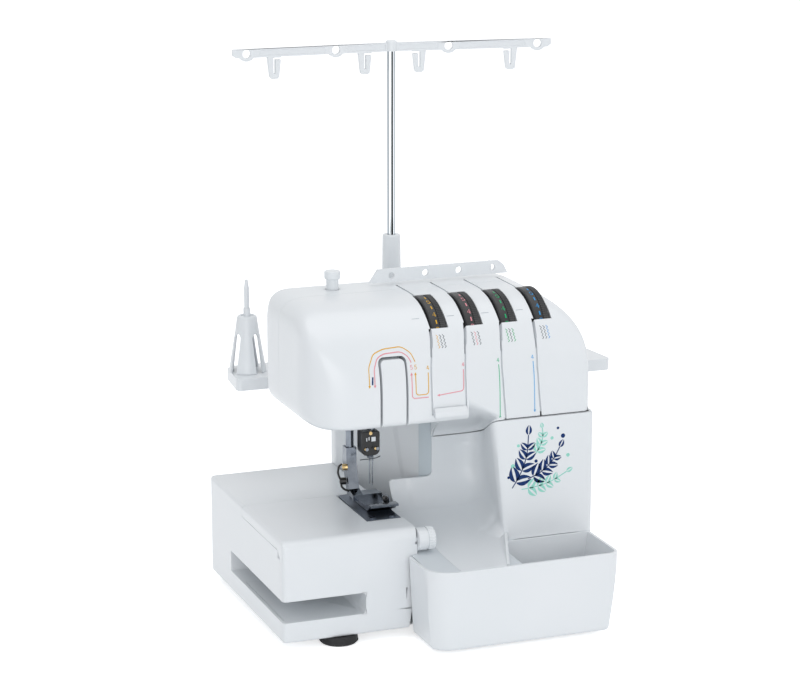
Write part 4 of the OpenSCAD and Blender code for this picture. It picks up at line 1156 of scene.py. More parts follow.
def nicheSkin(name):
    low, high, ridge = nicheColumns()
    count = len(low)
    points, faces = [], []

    def row(spots):
        start = len(points)
        points.extend([list(p) for p in spots])
        return start

    # upright wall, from the parting line down to the fillet
    radius = np.full(count, niche["fillet"])
    fade = np.clip((np.arange(count) - ridge + niche["fade"]) / niche["fade"], 0, 1)
    radius = radius * (1 - fade) + niche["filletEnd"] * fade
    base = shelfLevel(low[:, 1]) + radius
    base[ridge + 1:] = niche["low"]
    top = seamLevel(high[:, 1])
    uprightRows = niche["uprightRows"]
    rows = []
    for r in range(uprightRows + 1):
        t = r / uprightRows
        z = top * (1 - t) + base * t
        share = np.clip((z - base) / (top - base), 0, 1)
        x = low[:, 0] * (1 - share) + high[:, 0] * share
        y = low[:, 1] * (1 - share) + high[:, 1] * share
        rows.append(row(np.stack([x, y, z], axis=1)))
    for r in range(uprightRows):
        for i in range(count - 1):
            faces.append((rows[r] + i, rows[r + 1] + i, rows[r + 1] + i + 1, rows[r] + i + 1))

    # forward end of the wall's foot, which fades into the shelf's right edge
    lipX, lipY = niche["lip"]
    forward = evenly([low[ridge], (lipX, lipY)], niche["forward"])[1:]
    line = np.vstack([low[:ridge + 1], forward])
    shrink = 1 - np.linspace(0, 1, niche["forward"] - 1) ** 0.8
    curl = np.concatenate([radius[:ridge + 1], niche["filletEnd"] * shrink + 0.4])
    ways = inwardNormals(line)
    ways[0] = ways[1]
    # fillet, then shelf
    steps = niche["filletRows"]
    filletRows = []
    for k in range(steps + 1):
        a = math.radians(90 * k / steps)
        out = curl * (1 - math.cos(a))
        spot = line + ways * out[:, None]
        spot[:, 1] = np.maximum(spot[:, 1], lipY)
        z = shelfLevel(spot[:, 1]) + curl * (1 - math.sin(a))
        filletRows.append(row(np.column_stack([spot, z])))
        end = spot
    stepX, stepY = niche["shelfStep"]
    left = niche["shelfLeft"]
    rim = [(left, end[0][1]), (left, stepY), (stepX, stepY), (stepX, lipY), (lipX - 1, lipY)]
    target = evenly(rim, len(line))
    shelfRows = []
    for k in range(1, niche["shelfRows"] + 1):
        t = k / niche["shelfRows"]
        spot = end * (1 - t) + target * t
        shelfRows.append(row(np.column_stack([spot, shelfLevel(spot[:, 1])])))
    chain = filletRows + shelfRows
    for a, b in zip(chain, chain[1:]):
        for i in range(len(line) - 1):
            faces.append((a + i, b + i, b + i + 1, a + i + 1))
    ob = newPiece(name, points, faces)

    def work(bm):
        bmesh.ops.remove_doubles(bm, verts=bm.verts, dist=2e-5)
        loose = [v for v in bm.verts if not v.link_faces]
        bmesh.ops.delete(bm, geom=loose, context="VERTS")
        thin = [f for f in bm.faces if f.calc_area() < 1e-12]
        bmesh.ops.delete(bm, geom=thin, context="FACES")
        bmesh.ops.recalc_face_normals(bm, faces=bm.faces)
        calm = [v for v in bm.verts if not v.is_boundary and inBend(v.co)]
        for _ in range(niche["calm"]["passes"]):
            bmesh.ops.smooth_vert(bm, verts=calm, factor=0.5, use_axis_x=True, use_axis_y=True,
                                  use_axis_z=True)
        upward = sum(f.normal.z * f.calc_area() for f in bm.faces)
        if upward < 0:
            bmesh.ops.reverse_faces(bm, faces=bm.faces)
    edit(ob, work)
    thick = ob.modifiers.new("thick", "SOLIDIFY")
    thick.thickness = niche["thick"] / 1000
    thick.offset = -1
    settle(ob)
    return ob


# clear space over the tongue, with the rounded corners of the tongue and the side wall
def tongueRoom():
    left, right, top = niche["left"], niche["fasciaLeft"], niche["tongueTop"]
    outline = [(left - 5, 200), (left - 5, top - 3)] + arcPoints((left + 3, top - 3), 3, 180, 90, 5)
    outline += arcPoints((right - 5, top + 5), 5, 270, 360, 6) + [(right, 200)]
    return prism("tongueRoom", outline, "y", 90, 104)


sweep = {
    "span": (173.2, 205.0),
    "levels": (205.0, 187.0),
    "rows": 22,
    "thick": 2.0,
    "clear": 0.9,
    "pull": 0.34,
}
panelEnd = {
    "span": (140.3, 170.6),
    "under": 190.2,
    "lip": [(7.6, 200.6), (5.2, 197.4), (4.7, 195.6), (4.7, 193.2), (5.4, 191.6), (7.6, 191.0)],
}


# hollow that carries the head's front back into the sewing space, with its left end closed
def headSweep():
    low, high, ridge = nicheColumns()
    first = int(np.argmax(high[:, 0] >= niche["fasciaLeft"]))
    last = ridge + int(np.argmax(high[ridge:, 0] >= sweep["span"][1]))
    foot = high[first:last + 1]
    steps = np.concatenate([[0], np.cumsum(np.linalg.norm(np.diff(foot, axis=0), axis=1))])
    share = steps / steps[-1]
    top = np.interp(share, (0, 1), sweep["levels"])
    across = np.interp(share, (0, 1), sweep["span"])
    start = np.column_stack([across, frontFace(across, top), top])
    end = np.column_stack([foot, seamLevel(foot[:, 1]) + sweep["clear"]])
    pull = np.zeros_like(start)
    pull[:, 2] = (start[:, 2] - end[:, 2]) * sweep["pull"]
    count = len(foot)
    points, faces = [], []
    for r in range(sweep["rows"] + 1):
        t = r / sweep["rows"]
        spot = (1 - t) ** 3 * start + 3 * t * (1 - t) ** 2 * (start - pull)
        spot = spot + 3 * t * t * (1 - t) * (end + pull)
        points.append(spot + t ** 3 * end)
    for r in range(sweep["rows"]):
        faces += [(r * count + i, (r + 1) * count + i, (r + 1) * count + i + 1, r * count + i + 1)
                  for i in range(count - 1)]
    edgeLine = [(p[0][1], p[0][2]) for p in points]
    sheet = newPiece("headSweep", np.vstack(points), faces)

    def work(bm):
        bmesh.ops.remove_doubles(bm, verts=bm.verts, dist=2e-5)
        bmesh.ops.recalc_face_normals(bm, faces=bm.faces)
        if sum(f.normal.y * f.calc_area() for f in bm.faces) > 0:
            bmesh.ops.reverse_faces(bm, faces=bm.faces)
    edit(sheet, work)
    thick = sheet.modifiers.new("thick", "SOLIDIFY")
    thick.thickness = sweep["thick"] / 1000
    thick.offset = -1
    settle(sheet)
    under = [p for p in edgeLine if p[1] < 186.0]
    web = prism("sweepEnd", [(under[0][0], 186.0)] + under + [(under[-1][0], 186.0)], "x",
                sweep["span"][0] - 0.2, sweep["span"][0] + 1.4)
    return [smoothOut(sheet, 40), smoothOut(web, 30)]


# bright lip along the lower end of the second panel
def panelLip():
    low, high = panelEnd["span"]
    return [roundEdges(prism("panelLip", panelEnd["lip"], "x", low + 0.4, high - 0.3), 0.5, 2, 40)]


def swingDrum(name, radius):
    profile = [(0, 0), (radius, 0), (radius, 190), (0, 190)]
    return turned(name, profile, (110, hinge[0], hinge[1]), (1, 0, 0), 256)


def buildNiche():
    cover = nicheSkin("frontCover")
    carve(cover, [swingDrum("drum", swing)], "INTERSECT", "MANIFOLD")
    left = niche["shelfStep"][0]
    length = niche["lip"][0] - 1 - left
    profile = [(0, 0), (hinge[2], 0), (hinge[2], length), (0, length)]
    lip = turned("lip", profile, (left, hinge[0], hinge[1]), (1, 0, 0), 24)
    piece = merge("frontCover", [cover, lip])
    dressed(piece, "looper_cover", "white_plastic", ["front_cover"], angle=32)
    panel = nicheSkin("recessPanel")
    carve(panel, [swingDrum("drum", swing + 0.25), tongueRoom()], solver="MANIFOLD")
    dressed(panel, "root", "white_plastic", ["recess_panel"], angle=32)


buildHead()
print("head is built")
buildNiche()
print("sewing space is built")

# side web that closes the sewing space between the column and the fascia, in white plastic painted darker as
# painted shade
sideWeb = {
    "plan": [(163.6, 103.4), (173.2, 98.9), (176.2, 98.9), (176.2, 101.2), (165.6, 105.8)],
    "levels": (99.0, 187.5),
}
webPiece = prism("sideWeb", sideWeb["plan"], "z", *sideWeb["levels"])
dressed(webPiece, "root", "white_plastic", look=finishes["shadowed_shell"])


# printed sprigs on the looper cover
coverPrint = {
    "sprigs": [
        {"ink": "navy", "stem": [(214, 121), (222, 133), (228, 149), (229, 168)],
         "leaf": (15.0, 4.4), "leaves": 4},
        {"ink": "navy", "stem": [(229, 128), (240, 132), (252, 141), (259, 154)],
         "leaf": (12.5, 3.8), "leaves": 4},
        {"ink": "mint", "stem": [(223, 119), (238, 120), (253, 124), (266, 131)],
         "leaf": (11.0, 3.2), "leaves": 4},
        {"ink": "mint", "stem": [(236, 150), (241, 158), (243, 166), (242, 173)],
         "leaf": (8.5, 2.6), "leaves": 3},
    ],
    "dots": [("mint", 214.5, 141, 1.9), ("mint", 219.5, 159, 1.4), ("navy", 236.5, 143.5, 1.5),
             ("navy", 262, 164, 2.0), ("mint", 251.5, 163, 1.5), ("mint", 267, 146, 1.7),
             ("navy", 257, 171.5, 1.2), ("navy", 210.5, 131, 1.2)],
    "face": 8.0,
    "stemWidth": 0.9,
    "leafTurn": 48,
    "leafShrink": 0.13,  # each pair is smaller than the one before
    "tipLeaf": 0.6,
}


def onCover(x, z, lift):
    x = np.asarray(x, float)
    return np.stack([x, np.full(x.shape, coverPrint["face"] - lift), np.asarray(z, float)], axis=1)


def leafHalf(foot, way, length, width, side):
    along = np.array(way, float) / np.linalg.norm(way)
    across = np.array([-along[1], along[0]]) * side
    inner = [(t, 0.035 + 0.05 * math.sin(math.pi * t)) for t in np.linspace(0.03, 0.97, 12)]
    outer = [(t, 0.035 + (width / length) * math.sin(math.pi * t ** 0.8) ** 0.9)
             for t in np.linspace(0.97, 0.03, 16)]
    return [np.array(foot) + along * u * length + across * v * length for u, v in inner + outer]


def printCover():
    byInk = {}
    for sprig in coverPrint["sprigs"]:
        parts = byInk.setdefault(sprig["ink"], [])
        line = resampled(bendPath(sprig["stem"], 9.0), 0.8)
        parts.append(ribbon("stem", line, coverPrint["stemWidth"], onCover))
        length, width = sprig["leaf"]
        for n in range(sprig["leaves"]):
            spot = int(len(line) * (0.16 + 0.72 * n / sprig["leaves"]))
            way = np.array(line[min(spot + 2, len(line) - 1)]) - np.array(line[spot])
            for turn in (coverPrint["leafTurn"], -coverPrint["leafTurn"]):
                c, s = math.cos(math.radians(turn)), math.sin(math.radians(turn))
                lean = (way[0] * c - way[1] * s, way[0] * s + way[1] * c)
                scale = 1.0 - coverPrint["leafShrink"] * n
                for side in (1, -1):
                    half = leafHalf(line[spot], lean, length * scale, width * scale, side)
                    parts.append(patch("leaf", half, onCover))
        tip = np.array(line[-1]) - np.array(line[-3])
        scale = coverPrint["tipLeaf"]
        for side in (1, -1):
            parts.append(patch("leaf", leafHalf(line[-1], tip, length * scale, width * scale, side), onCover))
    for ink, x, z, radius in coverPrint["dots"]:
        byInk[ink].append(patch("dot", arcPoints((x, z), radius, 0, 345, 23), onCover))
    for ink, parts in byInk.items():
        piece = merge("coverPrint_" + ink, parts)
        dressed(piece, "looper_cover", "white_plastic", look=inks[ink])


printCover()
print("looper cover is printed")


# bed: both shells are shaved by one rounded body, so their edges run on
bed = {
    "low": (0.0, 0.0, 7.5),
    "high": (140.0, 217.0, 97.5),
    "plan": (5.0, 0.1, 0.1, 9.0),
    "side": (3.5, 3.5, 4.5, 9.0),
    "front": (3.0, 0.1, 0.1, 4.5),
    "soften": 2.0,
    "spare": 0.06,
    "slot": {"x": 75.0, "low": 26.0, "high": 45.0, "radius": 4.0, "depth": 112.0},
    "foot": [(106.0, 7.5), (114.6, 7.5), (117.8, 26.4), (106.0, 26.4)],
    "flank": [(111.0, 25.6), (117.7, 25.6), (121.2, 48.0), (122.0, 60.0), (122.05, 83.0), (118.0, 83.0)],
    "flankDepth": 57.0,
    "corner": {"wide": 3.9, "deep": 7.6, "upper": (45, 93), "lower": (7.5, 26)},
    "near": ((-5, -5, 0), (121, 114.4, 60)),  # part of the base tray that belongs to the bed's front
    "core": ((12, 12, 14), (1, 12, 14)),
    "step": 2.0,
}


def bedField(x, y, z):
    low, high = bed["low"], bed["high"]
    side = cornered(y, z, (low[1], low[2]), (high[1], high[2]), bed["side"])
    plan = cornered(x, y, (low[0], low[1]), (high[0], high[1]), bed["plan"])
    front = cornered(x, z, (low[0], low[2]), (high[0], high[2]), bed["front"])
    return blendMax(blendMax(side, plan, bed["soften"]), front, bed["soften"]) - bed["soften"] / 4


def bedBody():
    low, high = np.array(bed["low"]) - bed["spare"], np.array(bed["high"]) + bed["spare"]
    grid, faces = boxGrid(low, high, bed["step"])
    core = (low + bed["core"][0], high - bed["core"][1])
    skin = fitted(grid, core, lambda x, y, z: bedField(x, y, z) - bed["spare"])
    return newPiece("bedBody", skin, faces)


def slotFillets():
    slot = bed["slot"]
    x, r = slot["x"], slot["radius"]
    out = []
    for level, way in ((slot["low"], 1), (slot["high"], -1)):
        arc = [(x - r + r * math.sin(math.radians(a)), level + way * (r - r * math.cos(math.radians(a))))
               for a in range(0, 91, 10)]
        outline = [(x + 0.4, level - 0.4 * way), (x - r - 0.01, level - 0.4 * way)] + arc
        outline.append((x + 0.4, level + way * r))
        out.append(prism("fillet", outline, "y", 0.0, slot["depth"]))
    return out


def buildBed():
    arm = copyOf("free_arm_cover", "bedFront")
    corner = bed["corner"]
    wide, deep = corner["wide"], corner["deep"]
    low, high = corner["upper"]
    strip = prism("corner", [(0, low), (deep, low), (deep, high), (0, high)], "x", 0.0, wide)
    carve(arm, [strip, prism("flank", bed["flank"], "y", 0.0, bed["flankDepth"])], "UNION")
    roundEdges(arm, 0.7, 3)
    carve(arm, [bedBody()], "INTERSECT", "MANIFOLD")
    lower = copyOf("base_tray", "baseTray")
    front = copyOf("base_tray", "footFront")
    edit(front, lambda bm: bmesh.ops.remove_doubles(bm, verts=bm.verts, dist=2e-6))
    carve(front, [block("near", *bed["near"])], "INTERSECT", "MANIFOLD")
    low, high = corner["lower"]
    additions = [block("corner", (0, 0, low), (wide, deep, high)),
                 prism("end", bed["foot"], "y", 0.0, bed["flankDepth"])]
    carve(front, additions, "UNION", "MANIFOLD")
    carve(front, [bedBody()], "INTERSECT", "MANIFOLD")
    carve(lower, [block("near", *bed["near"])])
    roundEdges(lower, 0.5, 2)
    dressed(lower, "root", "grey_plastic", ["base_tray"], angle=32)
    piece = merge("freeArmCover", [arm, front] + slotFillets())
    dressed(piece, "root", "white_plastic", ["free_arm_cover", "base_tray"], angle=32)
    side = roundEdges(copyOf("flat_bed_attachment", "bedAttachment"), 0.7, 3)
    carve(side, [bedBody()], "INTERSECT", "MANIFOLD")
    dressed(side, bodyOf("flat_bed_attachment"), "white_plastic", ["flat_bed_attachment"], angle=32)
    for ob in (lower, piece, side):
        evenShading(ob)


buildBed()
print("bed is built")


# trimmings bin: soft foot, rounded back corner
binShape = {
    "left": 113.0,
    "right": 289.0,
    "floor": 3.0,
    "top": 73.6,
    "front": -57.0,
    "back": 7.9,
    "backLeft": 207.0,
    "shelfLine": -4.0,
    "wall": 2.5,
    "corners": (24.0, 10.0),
    "slant": (4.0, 11.0),
    "foot": 4.2,
    "notch": 8.0,
}


# solid bin drawn in by t, its back left opened by a further length
def binSolid(name, t, opened=0.0):
    spec = binShape
    left, right = spec["left"] + t, spec["right"] - t
    front, (wideCorner, tightCorner) = spec["front"] + t, spec["corners"]
    line = spec["shelfLine"] + opened
    plan = [(left, line)]
    plan += arcPoints((left + wideCorner - t, front + wideCorner - t), wideCorner - t, 180, 270, 24)
    plan += arcPoints((right - tightCorner + t, front + tightCorner - t), tightCorner - t, 270, 360, 14)
    back, backLeft = spec["back"] - t, spec["backLeft"] + t
    plan += [(right, back), (backLeft, back), (backLeft, line)]
    ob = prism(name, plan, "z", spec["floor"] + t, spec["top"] + (1 if t else 0))
    leanLeft, leanRight = spec["slant"]
    under, over = spec["floor"] - 0.1, spec["top"] + 2
    lean = [(spec["left"] + leanLeft + t, under), (spec["right"] - leanRight - t, under),
            (right, spec["top"]), (right, over), (left, over), (left, spec["top"])]
    return carve(ob, [prism("lean", lean, "y", spec["front"] - 1, spec["back"] + 1)], "INTERSECT")


def buildBin():
    spec = binShape
    ob = binSolid("trimBin", 0.0)
    roundEdges(ob, spec["foot"], 7, 28, lambda x, y, z: z < spec["floor"] + 0.4, False)
    carve(ob, [binSolid("inside", spec["wall"], 6.0)])
    r, top, line = spec["notch"], spec["top"], spec["shelfLine"]
    outline = [(line - 5, top + 1), (line - 5, top - r)] + arcPoints((line + r, top - r), r, 180, 90, 8)
    outline += [(line + r, top + 1)]
    carve(ob, [prism("notch", outline, "x", spec["backLeft"] - 1.5, spec["backLeft"] + 2.8)])
    evenShading(dressed(ob, bodyOf("trim_bin"), "white_plastic", ["trim_bin"], angle=24))


buildBin()
print("bin is built")


# thread bar on the mast: two arms with eyes and slotted tabs
threadArm = {
    "height": 8.0,
    "half": 2.0,
    "top": 478.5,
    "reach": (0.0, 152.0),
    "eyes": (54.0, 139.0),
    "eye": (3.9, 6.6),
    "tabs": (26.0, 113.0),
    "tab": {"wide": 6.6, "narrow": 4.4, "drop": 20.0, "slot": (0.9, -15.0), "gap": (-2.6, -0.8), "open": 9},
    "recess": [(6.0, 44.0), (64.0, 127.0)],
    "turns": (180.0, -7.5),
    "mast": (185.7, 231.0),
    "cap": (5.2, 10.0),
}


def barOutline():
    spec = threadArm
    out = [(spec["reach"][0], 0.0)]
    ring, mid = spec["eye"][1], spec["height"] / 2
    for u in spec["eyes"]:
        for a in np.linspace(200, 340, 15):
            v = mid - 0.6 + ring * math.sin(math.radians(a))
            out.append((u + ring * 1.15 * math.cos(math.radians(a)), min(v, 0.0)))
        if u == spec["eyes"][0]:
            out[-16:-15] = [out[-16], (u - ring * 1.7, 0.0)]
            out.append((u + ring * 1.7, 0.0))
        else:
            out.insert(len(out) - 15, (u - ring * 1.7, 0.0))
    end = spec["reach"][1]
    out += [(end - 3.2, 0.2), (end, 2.4), (end, spec["height"] - 0.6), (end - 0.8, spec["height"])]
    out.append((spec["reach"][0], spec["height"]))
    return out


def threadArmPiece(turn):
    spec = threadArm
    mx, my = spec["mast"]
    base = spec["top"]

    def slab(name, outline, y0, y1):
        return prism(name, [(mx + u, base + v) for u, v in outline], "y", my + y0, my + y1)

    arm = slab("arm", barOutline(), -spec["half"], spec["half"])
    hole, mid = spec["eye"][0], spec["height"] / 2
    carve(arm, [slab("eye", arcPoints((u, mid - 0.4), hole, 0, 345, 23), -5, 5) for u in spec["eyes"]])
    for near, far in spec["recess"]:
        box = roundedBox2d((near, 1.7), (far, spec["height"] - 1.7), (1.2,) * 4, 4)
        for y0, y1 in ((-3.0, -spec["half"] + 0.9), (spec["half"] - 0.9, 3.0)):
            carve(arm, [slab("recess", box, y0, y1)])
    roundEdges(arm, 0.45, 2, 40)
    parts = [arm]
    tab = spec["tab"]
    for u in spec["tabs"]:
        outline = [(u - tab["wide"], 0.6), (u - tab["narrow"], 1.5 - tab["drop"])]
        outline += [(u - tab["narrow"] + 1.6, -tab["drop"]), (u + tab["narrow"] - 1.6, -tab["drop"])]
        outline += [(u + tab["narrow"], 1.5 - tab["drop"]), (u + tab["wide"], 0.6)]
        hook = slab("hook", outline, -spec["half"], spec["half"])
        slotWide, slotLow = tab["slot"]
        gapLow, gapHigh = tab["gap"]
        outer = u - tab["open"]
        cuts = [slab("slot", [(u - slotWide, slotLow), (u + slotWide, slotLow), (u + slotWide, gapHigh),
                              (u - slotWide, gapHigh)], -5, 5),
                slab("gap", [(outer, gapLow), (u, gapLow), (u, gapHigh), (outer, gapHigh)], -5, 5)]
        carve(hook, cuts)
        parts.append(roundEdges(hook, 0.4, 2, 40))
    ob = merge("armPart", parts)
    c, s = math.cos(math.radians(turn)), math.sin(math.radians(turn))
    centre = at(mx, my, 0)

    def spin(bm):
        for vert in bm.verts:
            dx, dy = vert.co.x - centre.x, vert.co.y - centre.y
            vert.co.x, vert.co.y = centre.x + dx * c - dy * s, centre.y + dx * s + dy * c
    return edit(ob, spin)


def buildThreadBar():
    spec = threadArm
    radius, height = spec["cap"]
    profile = [(0, 0.2), (radius, 0.2), (radius, height - 1.2), (radius - 1.2, height), (0, height)]
    cap = turned("cap", profile, (*spec["mast"], spec["top"]), steps=40)
    parts = [threadArmPiece(turn) for turn in spec["turns"]] + [cap]
    piece = merge("threadBar", parts)
    evenShading(dressed(piece, bodyOf("thread_bar"), "white_plastic", ["thread_bar"], angle=32))


buildThreadBar()
print("thread bar is built")


# cone holders on the spool pins
cone = {
    "pins": (43.0, 126.0, 224.0, 284.0),
    "depth": 229.0,
    "foot": 190.3,
    "body": [(2.7, 39.5), (8.9, 39.5), (9.4, 36.0), (11.3, 36.0), (9.2, 50.6), (8.2, 52.0), (6.4, 52.3),
             (5.6, 50.4), (3.3, 50.2), (3.2, 58.6), (2.9, 59.0), (2.7, 59.0)],
    "leg": {"top": 37.0, "outer": (11.2, 17.4), "thick": 1.5, "half": (26.0, 33.0), "steps": 8, "rows": 16},
    "arch": 5.0,
    "archHalf": 45.0,  # half angle at which neighbouring legs meet
    "bearings": (-111, -21, 69, 159),
}


def coneLeg(x0, bearing):
    leg = cone["leg"]
    steps, rows = leg["steps"], leg["rows"]
    points, faces = [], []
    for shell in (0, 1):
        for r in range(rows + 1):
            t = r / rows
            rise = leg["top"] * (1 - t)
            radius = leg["outer"][0] + (leg["outer"][1] - leg["outer"][0]) * t - shell * leg["thick"]
            wide = leg["half"][0] + (leg["half"][1] - leg["half"][0]) * t
            flare = max(0.0, (rise - leg["top"] + cone["arch"]) / cone["arch"])
            wide += (cone["archHalf"] - wide) * flare ** 2.2
            for i in range(steps + 1):
                a = math.radians(bearing - wide + 2 * wide * i / steps)
                points.append((x0 + radius * math.cos(a), cone["depth"] + radius * math.sin(a),
                               cone["foot"] + rise))
    row = steps + 1
    sheet = (rows + 1) * row
    for r in range(rows):
        for i in range(steps):
            a, b = r * row + i, (r + 1) * row + i
            faces += [(a, b, b + 1, a + 1), (a + sheet, a + 1 + sheet, b + 1 + sheet, b + sheet)]
        for i in (0, steps):
            a, b = r * row + i, (r + 1) * row + i
            faces.append((a, b, b + sheet, a + sheet))
    for r in (0, rows):
        for i in range(steps):
            a = r * row + i
            faces.append((a, a + 1, a + 1 + sheet, a + sheet))
    return faceOutward(newPiece("coneLeg", points, faces))


def buildCone(number):
    x0 = cone["pins"][number]
    body = turned("coneBody", cone["body"] + [cone["body"][0]], (x0, cone["depth"], cone["foot"]), steps=56)
    legs = [coneLeg(x0, bearing) for bearing in cone["bearings"]]
    node = "spool_cone_%d" % (number + 1)
    piece = merge("spoolCone%d" % (number + 1), [body] + legs)
    dressed(piece, bodyOf(node), "white_plastic", [node], angle=40)


for coneNumber in range(4):
    buildCone(coneNumber)
print("cone holders are built")


# needle clamp, thread guard and plate details
clamp = {
    "middle": (110.4, 89.5),
    "half": (8.4, 6.4),
    "corners": (5.0, 5.0, 2.0, 2.0),
    "screws": (-4.6, 4.6),
    "screwUp": 6,
    "pit": [(0, 0), (2.1, 0), (2.1, 1.6), (0, 1.6)],
    "middlePit": {"across": 0.4, "up": 8.6, "profile": [(0, 0), (2.0, 0), (2.0, 1.4), (0, 1.4)]},
    "screw": [(0, 0), (1.2, 0.1), (1.6, 0.5), (1.6, 2.2), (0, 2.2)],
    "topScrew": {"across": -0.2, "down": 1.6,
                 "profile": [(0, 0), (1.5, 0.1), (1.9, 0.5), (1.9, 2.2), (0, 2.2)]},
    "label": (0.8, 5.0),
    "labelSize": (-0.4, 3.6, 4),  # left and right of its place, height
    "strokes": [(-4.4, -3.6, 3.6, 0.6), (-2.2, -1.4, 2.8, 0.0)],  # left, right, lower and upper end
    "wireDown": 3.0,
    "wire": [(-9.6, 2, -0.6), (-8, 0.5, 0), (-1.5, -0.6, 0.3), (5, 0, 0.4), (9.4, 2.4, 1.0)],
    "collars": (-1.8, 1.8),
    "collar": [(0, 0), (1.25, 0), (1.25, 4.0), (0, 4.0)],
}


def buildClamp():
    low, high = spanOf("needle_clamp")
    x, y = clamp["middle"]
    wide, deep = clamp["half"]
    outline = roundedBox2d((x - wide, low[2]), (x + wide, high[2]), clamp["corners"], 6)
    ob = prism("needleClamp", outline, "y", y - deep, y + deep)
    roundEdges(ob, 0.6, 3, 40)
    face = y - deep
    inward = (0, 1, 0)
    up = low[2] + clamp["screwUp"]
    carve(ob, [turned("pit", clamp["pit"], (x + dx, face - 0.4, up), inward, 24) for dx in clamp["screws"]])
    pit = clamp["middlePit"]
    place = (x + pit["across"], face - 0.4, low[2] + pit["up"])
    carve(ob, [turned("pit", pit["profile"], place, inward, 24)])
    evenShading(dressed(ob, bodyOf("needle_clamp"), "black_plastic", ["needle_clamp"], angle=32))
    body = bodyOf("needle_clamp")
    screws = [turned("screw", clamp["screw"], (x + dx, face - 0.2, up), inward, 20) for dx in clamp["screws"]]
    top = clamp["topScrew"]
    place = (x + top["across"], face - 0.2, high[2] - top["down"])
    screws.append(turned("screw", top["profile"], place, inward, 20))
    dressed(merge("clampScrews", screws), body, "bronze", look=finishes["brass"])
    u, v = clamp["label"]
    left, right, tall = clamp["labelSize"]
    near, far = face - 0.15, face + 0.3
    plates = [block("label", (x + u + left, near, high[2] - v - tall), (x + u + right, far, high[2] - v))]
    labelTop = high[2] - v
    for left, right, under, over in clamp["strokes"]:
        plates.append(block("label", (x + left, near, labelTop - under), (x + right, far, labelTop - over)))
    dressed(merge("clampLabel", plates), body, "white_plastic", look=finishes["white_plastic"])
    level = low[2] - clamp["wireDown"]
    wire = [(x + dx, face + dy, level + dz) for dx, dy, dz in clamp["wire"]]
    guides = [tube("guideWire", bendPath3(wire, 2.0), 0.42, 8)]
    for dx in clamp["collars"]:
        guides.append(turned("collar", clamp["collar"], (x + 1.6 + dx, y + 0.4, low[2] - 3.6), steps=20))
    dressed(merge("needleGuides", guides), body, "steel", look=finishes["dark_steel"])


def bendPath3(points, radius, steps=5):
    return [tuple(p) for p in bendPath(points, radius, steps)]


footTrim = {
    "screw": (91.6, 98.5, 128.5),
    "guard": [(88.6, 99, 131), (85.4, 98, 130), (84.0, 97, 124), (85.6, 96, 119), (87.4, 96, 116),
              (86.4, 95, 112), (89.0, 93, 109), (92.6, 92, 108), (94.8, 88, 104.5), (97.0, 84, 103)],
    "pin": (117.6, 67.2, 106.8),
    "hub": (85.2, 96.0, 116.5),
    "screwProfile": [(0, 0), (2.6, 0.2), (3.0, 0.8), (3.0, 5.0), (0, 5.0)],
    "hubProfile": [(0, 0), (2.6, 0.3), (3.2, 1.0), (3.2, 6.0), (0, 6.0)],
    "pinProfile": [(0, 0), (1.4, 0), (1.8, 0.6), (1.9, 1.4), (2.9, 1.8), (2.9, 5.0), (0, 5.0)],
}


def buildFootTrim():
    body = bodyOf("presser_foot")
    x, y, z = footTrim["screw"]
    screw = turned("screw", footTrim["screwProfile"], (x - 3.0, y, z), (1, -0.35, 0), 24)
    dressed(merge("footScrew", [screw]), body, "bronze", look=finishes["brass"])
    guard = tube("footGuard", bendPath3(footTrim["guard"], 2.0), 0.95, 8)
    hub = turned("hub", footTrim["hubProfile"], footTrim["hub"], (1, -0.2, 0), 24)
    dressed(merge("footGuard", [guard, hub]), body, "black_plastic", look=finishes["black_plastic"])
    x, y, z = footTrim["pin"]
    pin = turned("pin", footTrim["pinProfile"], (x, y - 4.0, z - 1.8), (0.0, 1, 0), 28)
    dressed(merge("footPin", [pin]), body, "black_plastic", look=finishes["black_plastic"])


buildClamp()
buildFootTrim()
print("needle clamp and foot are trimmed")


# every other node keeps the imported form, with its edges rounded

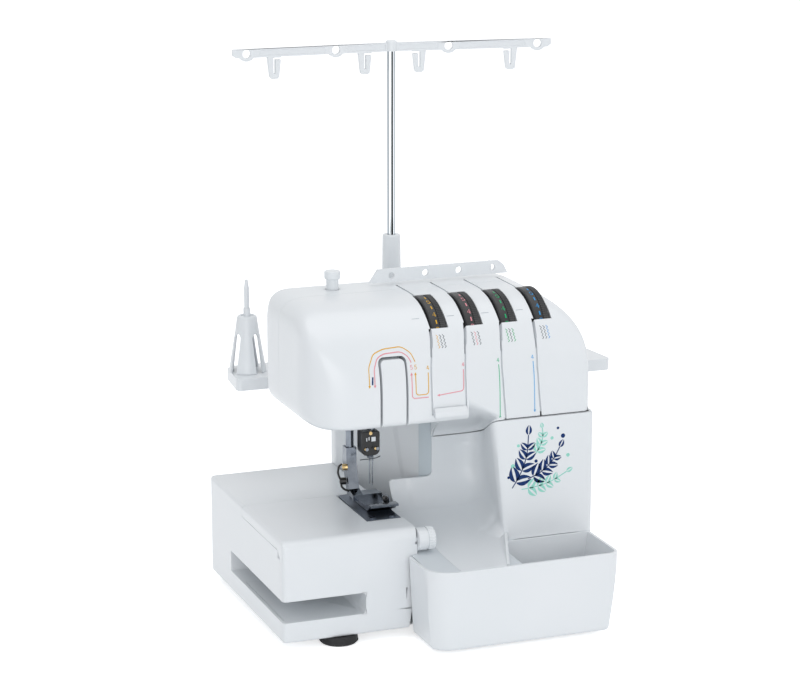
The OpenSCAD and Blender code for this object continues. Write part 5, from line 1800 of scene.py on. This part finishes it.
softened = {
    "right_side_cover": ("rightSideCover", 1.2, 3),
    "lower_front_housing": ("lowerHousing", 0.4, 2),
    "thread_guide_rail": ("threadRail", 0.6, 3),
    "spool_tray": ("spoolTray", 1.4, 3),
    "needle_plate": ("needlePlate", 0.25, 2),
    "presser_foot": ("presserFoot", 0.35, 2),
    "stitch_width_knob": ("widthKnob", 0.4, 2),
    "stitch_length_dial": ("lengthDial", 0.5, 2),
    "differential_dial": ("differentialDial", 0.5, 2),
    "power_switch": ("powerSwitch", 0.5, 2),
    "inlet_socket": ("inletSocket", 0.5, 2),
    "presser_lifter": ("presserLifter", 0.8, 3),
    "handwheel": ("handWheel", 0.8, 3),
    "mast_socket": ("mastSocket", 0.6, 2),
    "pressure_knob": ("pressureKnob", 0.4, 2),
    "upper_knife": ("upperKnife", 0.15, 1),
    "upper_looper": ("upperLooper", 0.3, 2),
    "lower_looper": ("lowerLooper", 0.3, 2),
    "take_up_lever": ("takeUpLever", 0.3, 2),
}
for node, (pieceName, width, segments) in softened.items():
    refined(node, pieceName, width, segments)
print("softened nodes:", len(softened))

shownNodes = [n for n, ob in frame["nodes"].items() if not ob.hide_render]
for node in shownNodes:
    ob = frame["nodes"][node]
    ob.data.materials.clear()
    ob.data.materials.append(finishes[nodeSlot[node]])
print("packed nodes shown as they are:", len(shownNodes))


# floor

floorLook = {
    "reach": 9000,
    "tones": [(0.2, (0.9, 0.91, 0.92, 1)), (0.8, (0.92, 0.93, 0.94, 1))],
    "glow": 0.6,  # only where the camera or a reflection sees the floor
}


def layFloor():
    reach = floorLook["reach"]
    corners = [(-reach, -reach, 0), (reach, -reach, 0), (reach, reach, 0), (-reach, reach, 0)]
    floor = newPiece("studioFloor", corners, [(0, 1, 2, 3)])
    r = Recipe("studioFloor")
    dust = r.noise(3, 3, 0.5)
    r.link(r.ramp(dust.outputs["Fac"], floorLook["tones"]), r.skin.inputs["Base Color"])
    r.skin.inputs["Roughness"].default_value = 0.9
    path = r.node("LightPath")
    seen = r.node("Math")
    seen.operation = "MAXIMUM"
    r.link(path.outputs["Is Camera Ray"], seen.inputs[0])
    r.link(path.outputs["Is Glossy Ray"], seen.inputs[1])
    lift = r.node("Math")
    lift.operation = "MULTIPLY"
    lift.inputs[1].default_value = floorLook["glow"]
    r.link(seen.outputs[0], lift.inputs[0])
    r.skin.inputs["Emission Color"].default_value = (1, 1, 1, 1)
    r.link(lift.outputs[0], r.skin.inputs["Emission Strength"])
    floor.data.materials.append(r.material)


layFloor()
